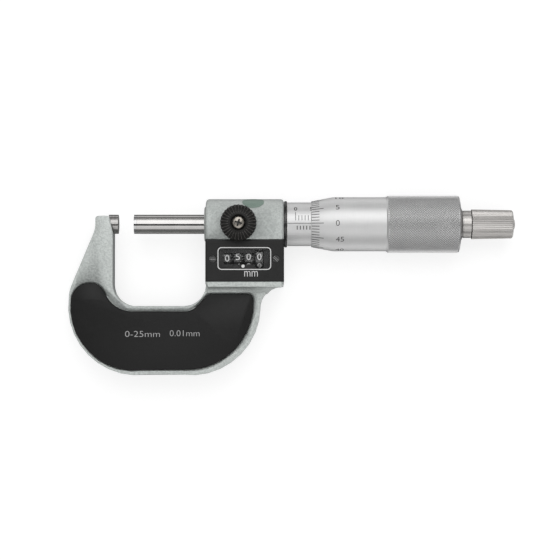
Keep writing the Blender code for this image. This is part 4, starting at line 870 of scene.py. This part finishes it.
@dataclass
class FrameCasting:
    """C frame with its fixed anvil and a plain round patch on the head."""

    head_radius: float = 8.0 * MM
    patch_x: float = 42.9 * MM
    patch_radius: float = 3.45 * MM
    patch_turn: float = math.radians(58.2)
    patch_height: float = 0.83
    patch_depth: float = 0.12 * MM
    patch_rows: int = 14

    def build(self) -> None:
        """Makes the casting, dresses the anvil and sticks the patch on."""
        FullCorners().remake("frame", "frame_casting", ENAMEL)
        dress(ANVIL_STEEL, "anvil", "anvil_tip")
        patch = disc("head_patch", self.patch_radius, self.patch_depth, self.patch_depth / 3)
        move_points(patch, lambda co: (co.x, co.y * self.patch_height, co.z))
        level_cuts(patch, self.patch_rows)
        wrap(patch, self.patch_x, self.patch_turn, lambda _: self.head_radius,
             lift=self.patch_depth / 3)
        smooth(patch, 40)
        add_piece(patch, STICKER, Body.FRAME)


@dataclass
class GripPlates:
    """Black insulating plates on both sides of the frame, the front one lettered."""

    face: float = 5.4 * MM
    text_height: float = 1.88 * MM
    depth: float = 0.04 * MM
    stroke: float = -0.016
    labels: tuple[tuple[str, str, Flat, float], ...] = (
        ("range_label", "0-25mm", (8.02 * MM, -34.86 * MM), 10.99 * MM),
        ("step_label", "0.01mm", (21.32 * MM, -34.64 * MM), 9.4 * MM))

    def build(self) -> None:
        """Makes the plates and prints the range and the step."""
        for side in ("front", "rear"):
            FullCorners().remake(side + "_grip_plate", side + "_plate_moulded", PLATE_PLASTIC)
        for name, text, place, width in self.labels:
            label = lettering(text, self.text_height, self.depth, self.stroke, width=width)
            placed(settle(label, name), *place, self.face)
            add_piece(label, GREY_PAINT, Body.FRAME)


@dataclass
class DigitCounter:
    """Mechanical counter: cover, window and its printing, four number wheels and their gears."""

    front: float = 8.4 * MM
    print_depth: float = 0.05 * MM
    window_centre: Flat = (40.185 * MM, -11.165 * MM)
    window_size: Flat = (16.83 * MM, 7.13 * MM)
    window_corner: float = 1.25 * MM
    window_line: float = 0.28 * MM
    point_place: Flat = (39.78 * MM, -13.57 * MM)
    point_radius: float = 0.525 * MM
    unit_place: Flat = (42.29 * MM, -15.95 * MM)
    unit_height: float = 1.72 * MM
    unit_width: float = 4.22 * MM
    unit_stroke: float = -0.012
    axis: Flat = (-10.57 * MM, 1.6 * MM)
    wheel_radius: float = 5.0 * MM
    digit_step: float = math.radians(36)
    digit_height: float = 2.06 * MM
    digit_width: float = 1.36 * MM
    one_share: float = 0.55
    digit_depth: float = 0.04 * MM
    digit_rows: int = 6
    wheels: tuple[tuple[Body, float, int, float], ...] = (
        (Body.TENS, 34.75 * MM, 0, -0.5 * MM), (Body.UNITS, 38.13 * MM, 5, 0.0),
        (Body.TENTHS, 41.51 * MM, 0, 0.0), (Body.HUNDREDTHS, 44.89 * MM, 0, 0.0))
    screw_radius: float = 1.05 * MM
    screw_shank: float = 0.6 * MM
    screw_head: float = 0.9 * MM
    screw_edge: float = 0.13 * MM
    slot_width: float = 0.34 * MM
    slot_depth: float = 0.4 * MM
    screws: tuple[tuple[str, float], ...] = (
        ("cover_screw_left", 0.0), ("cover_screw_right", math.radians(-38)))

    def build_window(self) -> None:
        """Gives the window its clear material, white line, point and unit."""
        paint(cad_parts["window_lens"], build_clear())
        LOG.info("dressed window_lens with its clear material")
        line = outline_ring("window_line", self.window_size, self.window_corner,
                            self.window_line, self.print_depth)
        placed(line, *self.window_centre, self.front)
        point = disc("decimal_point", self.point_radius, self.print_depth,
                     self.print_depth / 3)
        placed(point, *self.point_place, self.front + self.print_depth / 2)
        unit = settle(lettering("mm", self.unit_height, self.print_depth, self.unit_stroke,
                                width=self.unit_width), "unit_label")
        placed(unit, *self.unit_place, self.front)
        for piece in (line, point, unit):
            add_piece(piece, WHITE_PAINT, Body.FRAME)

    def build_screw(self, node: str, turn: float) -> None:
        """Turns a cover screw, cuts its slot and paints wear and a highlight on its edges and rim.

        Args:
            node: The CAD screw that it stands for.
            turn: How far its slot is turned from level.
        """
        places = [vertex.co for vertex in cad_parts[node].data.vertices]
        x, y = ((min(co[i] for co in places) + max(co[i] for co in places)) / 2 for i in (0, 1))
        end = min(co.z for co in places)
        front, radius, edge = self.front, self.screw_radius, self.screw_edge
        screw = upright(lathe(node + "_slotted", [
            (end, 0.0), (end, self.screw_shank), (front - self.screw_head, self.screw_shank),
            (front - self.screw_head, radius), (front - edge, radius), (front, radius - edge),
            (front, 0.0)], segments=32, closed=False), x, y)
        for width, depth in ((self.slot_width + 2 * edge, edge / 2),
                             (self.slot_width, self.slot_depth)):
            cutter = turned(slab("slot", (3 * radius, width, 2 * depth)), turn)
            carve(screw, placed(cutter, x, y, front))
        smooth(screw, 35)
        add_piece(screw, OXIDE, Body.FRAME)
        # Wear and a painted highlight on the head's rim and the slot's edges
        paint_faces(screw, OXIDE_WEAR_AND_HIGHLIGHT, lambda co: edge > front - co.z > edge / 4)
        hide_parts(node)

    def build_digits(self) -> None:
        """Prints the ten digits round each number wheel."""
        for body, x, shown, shift in self.wheels:
            digits = []
            for value in range(10):
                share = self.one_share if value == 1 else 1.0
                digit = lettering(str(value), self.digit_height, self.digit_depth,
                                  rows=self.digit_rows, width=self.digit_width * share)
                turn = (value - shown) * self.digit_step + shift / self.wheel_radius
                digits.append(wrap(digit, x, turn, lambda _: self.wheel_radius, self.axis))
            add_piece(joined(digits, body.value + "_digits"), WHITE_PAINT, body)

    def build(self) -> None:
        """Dresses the counter and adds what is printed on it."""
        dress(COVER_PLASTIC, "counter_cover")
        dress(SATIN_CHROME, "counter_bracket")
        dress(NICKEL, "bracket_screw_left", "bracket_screw_right")
        dress(GROUND_STEEL, "counter_shaft", "idler_stud", "transfer_shaft", "drive_key")
        dress(BRASS, "drive_gear", "idler_gear", *(f"transfer_pinion_{i}" for i in (1, 2, 3)))
        dress(WHEEL_BLACK, *(body.value for body, *_ in self.wheels))
        self.build_window()
        for node, turn in self.screws:
            self.build_screw(node, turn)
        self.build_digits()


@dataclass
class Barrel:
    """Collar and sleeves, with the 0 to 25 mm scale."""

    radius: float = 6.95 * MM
    start: float = 53.75 * MM
    zero_x: float = 56.3 * MM
    end: float = 83.5 * MM
    travel: int = 25
    half_step: float = 0.5 * MM
    line_width: float = 0.17 * MM
    bold_width: float = 0.26 * MM
    depth: float = 0.03 * MM
    above: tuple[float, float, float] = (0.89 * MM, 2.54 * MM, 3.53 * MM)
    below: Flat = (-2.0 * MM, -0.80 * MM)
    number_turn: float = math.radians(42)
    number_height: float = 1.55 * MM
    number_stroke: float = 0.015

    def mark(self, x: float, low: float, high: float, width: float) -> Piece:
        """Makes one mark across the sleeve.

        Args:
            x: Its place along the sleeve.
            low: Its lower end's height in the front view.
            high: Its upper end's height.
            width: Its width.

        Returns:
            The mark.
        """
        start, end = (math.asin(y / self.radius) * self.radius for y in (low, high))
        stroke = slab("mark", (width, end - start, self.depth))
        level_cuts(stroke, 3)
        return wrap(stroke, x, (start + end) / 2 / self.radius, lambda _: self.radius)

    def build(self) -> None:
        """Dresses the sleeves and engraves the scale."""
        dress(BLUED, "sleeve_collar")
        dress(SATIN_CHROME, "outer_sleeve")
        dress(GROUND_STEEL, "inner_sleeve", "taper_nut")
        index = slab("index", (self.end - self.start, self.line_width, self.depth))
        marks = [wrap(index, (self.start + self.end) / 2, 0.0, lambda _: self.radius)]
        near, short, tall = self.above
        for step in range(self.travel + 1):
            x = self.zero_x + step * MM
            marks.append(self.mark(x, near, short if step % 5 else tall, self.line_width))
            if step < self.travel:
                marks.append(self.mark(x + self.half_step, *self.below, self.bold_width))
        add_piece(joined(marks, "sleeve_scale"), ENGRAVING_AND_SHADE_BLACK, Body.FRAME)
        numbers = []
        for value in range(0, self.travel + 1, 5):
            number = lettering(str(value), self.number_height, self.depth, self.number_stroke,
                               rows=4)
            numbers.append(wrap(number, self.zero_x + value * MM, self.number_turn,
                                lambda _: self.radius))
        add_piece(joined(numbers, "sleeve_numbers"), ENGRAVING_AND_SHADE_BLACK, Body.FRAME)


@dataclass
class Thimble:
    """Graduated thimble with a diamond knurl, standing for the plain CAD one."""

    left: float = 61.3 * MM
    chamfer: float = 0.05 * MM
    bevel_end: float = 68.1 * MM
    plain_end: float = 85.0 * MM
    mouth: float = 7.1 * MM
    edge: float = 7.27 * MM
    plain: float = 8.6 * MM
    knurl: float = 9.17 * MM
    knurl_start: float = 85.5 * MM
    knurl_end: float = 108.0 * MM
    knurl_depth: float = 0.22 * MM
    tolerance: float = 0.02 * MM
    crown: tuple[Flat, ...] = (
        (108.2, 8.85), (108.4, 8.1), (108.65, 6.6), (108.9, 5.3), (109.2, 4.7))
    inside: tuple[Flat, ...] = (
        (109.3, 4.5), (109.3, 4.25), (106.7, 4.25), (106.7, 4.1), (103.1, 4.8), (103.1, 7.6),
        (68.5, 7.6), (68.2, 7.1))
    # Brightness of the painted shade in the knurl's grooves and of the painted highlight on its
    # crests
    groove_shade: float = 0.68
    crest_shade: float = 1.45
    segments: int = 144
    rows: int = 56
    marks: int = 50
    mark_ends: Flat = (63.8 * MM, 65.15 * MM)
    line_width: float = 0.20 * MM
    depth: float = 0.03 * MM
    number_x: float = 68.95 * MM
    number_height: float = 1.8 * MM
    number_stroke: float = -0.008
    digit_width: float = 1.2 * MM
    pair_share: float = 2.15

    @property
    def pitch(self) -> float:
        """Length of one row of the knurl."""
        return (self.knurl_end - self.knurl_start) / self.rows

    def surface(self, x: float) -> float:
        """Radius of the graduated front at a place along the axis."""
        share = min(max((x - self.left) / (self.bevel_end - self.left), 0.0), 1.0)
        return self.edge + (self.plain - self.edge) * share

    def on_band(self, co: Vector) -> bool:
        """Whether a point of the turned body is on the band that gets the knurl."""
        return math.hypot(co.y, co.z) > self.knurl - self.tolerance

    def is_crest(self, co: Vector) -> bool:
        """Tells the knurl's crests from its grooves, as on a chequerboard.

        Args:
            co: A point of the turned body.

        Returns:
            Whether it stays a crest.
        """
        row = round((co.x - self.knurl_start) / self.pitch)
        column = round(math.atan2(co.y, co.z) / (math.tau / self.segments))
        return self.on_band(co) and 0 < row < self.rows and (row + column) % 2 == 0

    def roll(self, co: Vector) -> Point:
        """Presses a point of the band in, unless it is a crest.

        Args:
            co: A point of the turned body.

        Returns:
            Where it goes.
        """
        if self.is_crest(co) or not self.on_band(co):
            return tuple(co)
        out = math.hypot(co.y, co.z)
        share = (out - self.knurl_depth) / out
        return (co.x, co.y * share, co.z * share)

    def build_body(self) -> None:
        """Turns the thimble and rolls the knurl into it."""
        band = [(self.knurl_start + self.pitch * row, self.knurl) for row in range(self.rows + 1)]
        body = lathe("thimble_knurled", [
            (self.left, self.mouth), (self.left, self.edge - self.chamfer),
            (self.left + self.chamfer, self.edge), (self.bevel_end, self.plain),
            (self.plain_end, self.plain), *band, *in_mm(self.crown + self.inside)],
            self.segments)
        crests = [self.is_crest(vertex.co) for vertex in body.data.vertices]
        move_points(body, self.roll)
        groove = body.data.attributes.new("groove", "FLOAT", "POINT")
        groove.data.foreach_set("value", [float(not crest) for crest in crests])
        with editing(body):
            bpy.ops.mesh.quads_convert_to_tris(quad_method="SHORTEST_DIAGONAL")
        smooth(body, 25)
        # Paints shade into the knurl's grooves and a highlight onto its crests
        knurled(KNURL_CHROME, self.groove_shade, self.crest_shade)
        add_piece(body, KNURL_CHROME, Body.SPINDLE)
        paint_faces(body, SATIN_CHROME, lambda co: co.x <= self.knurl_start)
        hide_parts("thimble")

    def build_scale(self) -> None:
        """Engraves fifty marks and the numbers by fives."""
        step = math.tau / self.marks
        marks = []
        for value in range(self.marks):
            end = self.mark_ends[0] if value % 5 else self.mark_ends[1]
            length = end - self.left - self.chamfer
            stroke = slab("mark", (length, self.line_width, self.depth))
            marks.append(wrap(stroke, end - length / 2, value * step, self.surface))
        add_piece(joined(marks, "thimble_scale"), ENGRAVING_AND_SHADE_BLACK, Body.SPINDLE)
        numbers = []
        for value in range(0, self.marks, 5):
            share = 1.0 if value < 10 else self.pair_share
            number = lettering(str(value), self.number_height, self.depth, self.number_stroke,
                               rows=4, align="LEFT", width=self.digit_width * share)
            numbers.append(wrap(number, self.number_x, value * step, lambda _: self.plain))
        add_piece(joined(numbers, "thimble_numbers"), ENGRAVING_AND_SHADE_BLACK, Body.SPINDLE)

    def build(self) -> None:
        """Makes the thimble and its scale."""
        self.build_body()
        self.build_scale()


@dataclass
class SpindleAndStop:
    """Spindle with its face, and the ratchet stop on its end."""

    screw_start: float = 120.3 * MM
    head_start: float = 124.67 * MM
    knob_end: float = 125.7 * MM
    shank: float = 0.8 * MM
    head: float = 1.7 * MM
    dome: float = 0.5 * MM
    slot_width: float = 0.45 * MM
    slot_depth: float = 0.6 * MM

    def build_screw(self) -> None:
        """Turns the end screw with its domed head and cuts its slot."""
        end, head = self.knob_end, self.head
        dome = [(end + self.dome * math.sin(turn), head * math.cos(turn))
                for turn in (math.radians(degrees) for degrees in range(0, 90, 15))]
        screw = lathe("ratchet_screw_domed", [
            (self.screw_start, 0.0), (self.screw_start, self.shank),
            (self.head_start, self.shank), (self.head_start, head), *dome,
            (end + self.dome, 0.0)], segments=48, closed=False)
        carve(screw, slab("slot", (2 * self.slot_depth, 3 * head, self.slot_width),
                          (end + self.dome, 0.0, 0.0)))
        smooth(screw, 35)
        add_piece(screw, STOP_CHROME, Body.SPINDLE)
        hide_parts("ratchet_screw")

    def build(self) -> None:
        """Dresses the spindle and the stop, and makes the end screw."""
        dress(GROUND_STEEL, "spindle", "click_ring", "ratchet_spring")
        dress(CARBIDE, "spindle_tip")
        dress(STOP_CHROME, "ratchet_body", "ratchet_knob")
        self.build_screw()


@dataclass
class SpindleLock:
    """Lock knob on the head's front, ribbed and with a cross-head screw, its stem and pad."""

    x: float = 38.36 * MM
    foot: float = 8.7 * MM
    top: float = 12.4 * MM
    outer: float = 5.725 * MM
    bore_radius: float = 2.15 * MM
    bore: tuple[Flat, ...] = ((9.75, 2.15), (9.75, 1.4), (10.9, 1.4), (10.9, 2.48))
    crown: tuple[Flat, ...] = (
        (0.12, 2.48), (0.0, 2.6), (0.0, 2.9), (0.02, 3.2), (0.05, 3.7), (0.1, 4.4), (0.2, 5.0),
        (0.38, 5.45))
    shoulder: float = 0.7 * MM
    hem: float = 0.5 * MM
    skirt: tuple[Flat, ...] = ((0.1, 5.55), (0.0, 5.2))
    ribs: int = 30
    rib_start: float = 2.95 * MM
    rib_full: float = 0.8
    rib_foot: float = 1.2 * MM
    rib_rise: float = 0.42 * MM
    rib_inset: float = 0.14 * MM
    inset_start: float = 5.4 * MM
    rib_power: float = 0.6
    crest_share: float = 0.8
    crest_drop: float = 0.6 * MM
    crest_start: float = 3.2 * MM
    screw_end: float = 7.0 * MM
    screw_shank: float = 1.2 * MM
    screw_base: float = 11.0 * MM
    screw_radius: float = 2.12 * MM
    screw_rise: float = 1.15 * MM
    screw_dome: tuple[Flat, ...] = ((0.5, 1.0), (0.8, 0.9), (1.02, 0.68), (1.12, 0.38))
    cross_reach: float = 2.3 * MM
    cross_width: float = 0.55 * MM
    cross_height: float = 1.4 * MM
    cross_rounding: float = 0.08 * MM
    cross_turn: float = math.radians(-17)
    cross_share: float = 0.52
    cross_depths: Flat = (0.3 * MM, 0.95 * MM)

    def is_crest(self, co: Vector) -> bool:
        """Whether a place on the knob is on the upper crest of a rib, which is painted lighter."""
        across = co.x - self.x
        return (math.cos(self.ribs * math.atan2(across, co.y)) > self.crest_share
                and co.z > self.top - self.crest_drop
                and math.hypot(across, co.y) > self.crest_start)

    def press(self, co: Vector) -> Point:
        """Presses the grooves between the ribs into the lying knob.

        Args:
            co: A point of the turned knob.

        Returns:
            Where it goes.
        """
        out = math.hypot(co.y, co.z)
        if out < self.rib_start:
            return tuple(co)
        wave = (0.5 - 0.5 * math.cos(self.ribs * math.atan2(co.y, co.z))) ** self.rib_power
        reach = self.outer * self.rib_full - self.rib_start
        share = min((out - self.rib_start) / reach, 1.0)
        drop = self.rib_rise * wave * share if co.x > self.foot + self.rib_foot else 0.0
        inset = self.rib_inset * wave if out > self.inset_start else 0.0
        return (co.x - drop, co.y * (1 - inset / out), co.z * (1 - inset / out))

    def build_knob(self) -> None:
        """Turns the knob and presses its radial ribs."""
        top, foot, outer = self.top, self.foot, self.outer
        knob = lathe("lock_knob_ribbed", [
            (foot, self.bore_radius), *in_mm(self.bore),
            *((top - drop, radius) for drop, radius in in_mm(self.crown)),
            (top - self.shoulder, outer), (foot + self.hem, outer),
            *((foot + rise, radius) for rise, radius in in_mm(self.skirt))], self.ribs * 8)
        move_points(knob, self.press)
        smooth(upright(knob, self.x), 35)
        add_piece(knob, KNOB_PLASTIC, Body.LOCK)
        paint_faces(knob, KNOB_CREST, self.is_crest)
        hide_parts("lock_knob")

    def build_screw(self) -> None:
        """Turns the pan-head screw, cuts its cross and paints shade into the cross's recess."""
        base, reach, end = self.screw_base, self.screw_radius, self.screw_end
        dome = [(base + rise * MM, reach * share) for rise, share in self.screw_dome]
        screw = upright(lathe("lock_screw_cross", [
            (end, 0.0), (end, self.screw_shank), (base, self.screw_shank), (base, reach), *dome,
            (base + self.screw_rise, 0.0)], segments=48, closed=False), self.x)
        for quarter in range(2):
            arm = slab("cross_arm", (self.cross_reach, self.cross_width, self.cross_height),
                       rounding=self.cross_rounding)
            turned(arm, self.cross_turn + quarter * math.pi / 2)
            carve(screw, placed(arm, self.x, 0.0, base + self.screw_rise))
        smooth(screw, 35)
        add_piece(screw, NICKEL, Body.LOCK)
        # Painted shade on the walls inside the cross's recess
        low, high = self.cross_depths
        paint_faces(screw, ENGRAVING_AND_SHADE_BLACK, lambda co: (
            base + low < co.z < base + high
            and math.hypot(co.x - self.x, co.y) < self.cross_reach * self.cross_share))
        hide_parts("lock_screw")

    def build(self) -> None:
        """Makes the knob and the screw, and dresses the rest."""
        dress(GROUND_STEEL, "lock_stem")
        dress(BRASS, "lock_pad")
        self.build_knob()
        self.build_screw()


@dataclass
class Studio:
    """Pale floor, soft lights and the camera of the photograph."""

    floor_z: float = -9.2 * MM
    floor_centre: Flat = (0.05, 0.0)
    floor_size: float = 3.0
    aim: Point = (51.38 * MM, -17.74 * MM, 0.0)
    camera_distance: float = 0.62
    camera_tilt: float = math.radians(1.2)
    sensor_width: float = 36.0
    field_width: float = 178.2 * MM
    lights: tuple[tuple[str, Point, float, float], ...] = (
        ("upper_light", (0.05, 0.39, 0.58), 0.62, 2.15),
        ("lower_light", (0.05, -0.39, 0.58), 0.62, 0.95))
    light_aim: Point = (0.05, -0.01, 0.0)
    ambient: Flat = (0.14, 0.62)
    floor_shade: float = 0.38
    floor_glow: float = 0.74
    cards: tuple[tuple[str, Point, Point, float], ...] = (
        # Both cards are seen only in reflections: the front card paints a dark reflection into the
        # metal from above, and the floor card paints the shade of the floor beneath the tool
        ("front_card", (0.05, -0.055, 0.50), (0.60, 0.12, 0.002), 0.02),
        ("floor_card", (0.06, 0.0, -0.0091), (0.14, 0.042, 0.0001), 0.30))

    def build_floor(self) -> None:
        """Lays the floor, which looks white and keeps the object's shadow."""
        deselect()
        bpy.ops.mesh.primitive_plane_add(size=self.floor_size,
                                         location=(*self.floor_centre, self.floor_z))
        floor = settle(bpy.context.object, "floor")
        made = new_material("floor_white", {
            "Base Color": (*grey(self.floor_shade), 1.0), "Roughness": 0.9,
            "Specular IOR Level": 0.0, "Emission Color": (1.0, 1.0, 1.0, 1.0)})
        tree = made.node_tree
        seen, *others = (add_node(tree, "LightPath", {}).outputs[ray] for ray in (
            "Is Camera Ray", "Is Glossy Ray", "Is Transmission Ray"))
        for ray in others:
            seen = maths(tree, "MAXIMUM", seen, ray)
        fill(tree, tree.nodes["Principled BSDF"], {
            "Emission Strength": remap(tree, seen, 0.0, 1.0, 0.0, self.floor_glow)})
        paint(floor, made)

    def build_lights(self) -> None:
        """Hangs the soft boxes and sets the ambient light."""
        for name, place, size, power in self.lights:
            lamp = bpy.data.lights.new(name, "AREA")
            lamp.shape = "SQUARE"
            lamp.size = size
            lamp.energy = power
            holder = new_object(name, lamp)
            holder.location = place
            sight = Vector(self.light_aim) - Vector(place)
            holder.rotation_euler = sight.to_track_quat("-Z", "Y").to_euler()
            holder.visible_camera = False
        world = bpy.data.worlds.new("studio")
        world.use_nodes = True
        tree = world.node_tree
        place = add_node(tree, "TexCoord", {}).outputs["Generated"]
        height = add_node(tree, "SeparateXYZ", {"Vector": place}).outputs["Z"]
        fill(tree, tree.nodes["Background"], {
            "Color": (1.0, 1.0, 1.0, 1.0),
            "Strength": remap(tree, height, 0.0, 1.0, *self.ambient)})
        bpy.context.scene.world = world

    def build_cards(self) -> None:
        """Sets a dark card over the tool and one under it, seen only in the bright metal."""
        for name, place, size, shade in self.cards:
            card = slab(name, size, place)
            paint(card, new_material(name + "_shade", {
                "Base Color": (*grey(shade), 1.0), "Roughness": 1.0}))
            card.visible_camera = card.visible_diffuse = card.visible_shadow = False
            card.visible_transmission = False

    def build_camera(self) -> None:
        """Sets the camera over the tool, looking down with a slight tilt."""
        camera = bpy.data.cameras.new("camera")
        camera.sensor_width = self.sensor_width
        camera.lens = camera.sensor_width * self.camera_distance / self.field_width
        camera.clip_start = 0.01
        holder = new_object("camera", camera)
        holder.location = (self.aim[0],
                           self.aim[1] - self.camera_distance * math.sin(self.camera_tilt),
                           self.aim[2] + self.camera_distance * math.cos(self.camera_tilt))
        holder.rotation_euler = (self.camera_tilt, 0, 0)
        bpy.context.scene.camera = holder
        bpy.context.scene.view_settings.view_transform = "Standard"

    def build(self) -> None:
        """Sets up the floor, the lights, the cards and the camera."""
        self.build_floor()
        self.build_lights()
        self.build_cards()
        self.build_camera()


def main() -> None:
    """Builds every sub-assembly in order."""
    logging.basicConfig(level=logging.INFO, format="%(name)s: %(message)s")
    for assembly in (FrameCasting(), GripPlates(), DigitCounter(), Barrel(), Thimble(),
                     SpindleAndStop(), SpindleLock(), Studio()):
        assembly.build()
        LOG.info("finished %s", type(assembly).__name__)


if __name__ == "__main__":
    main()
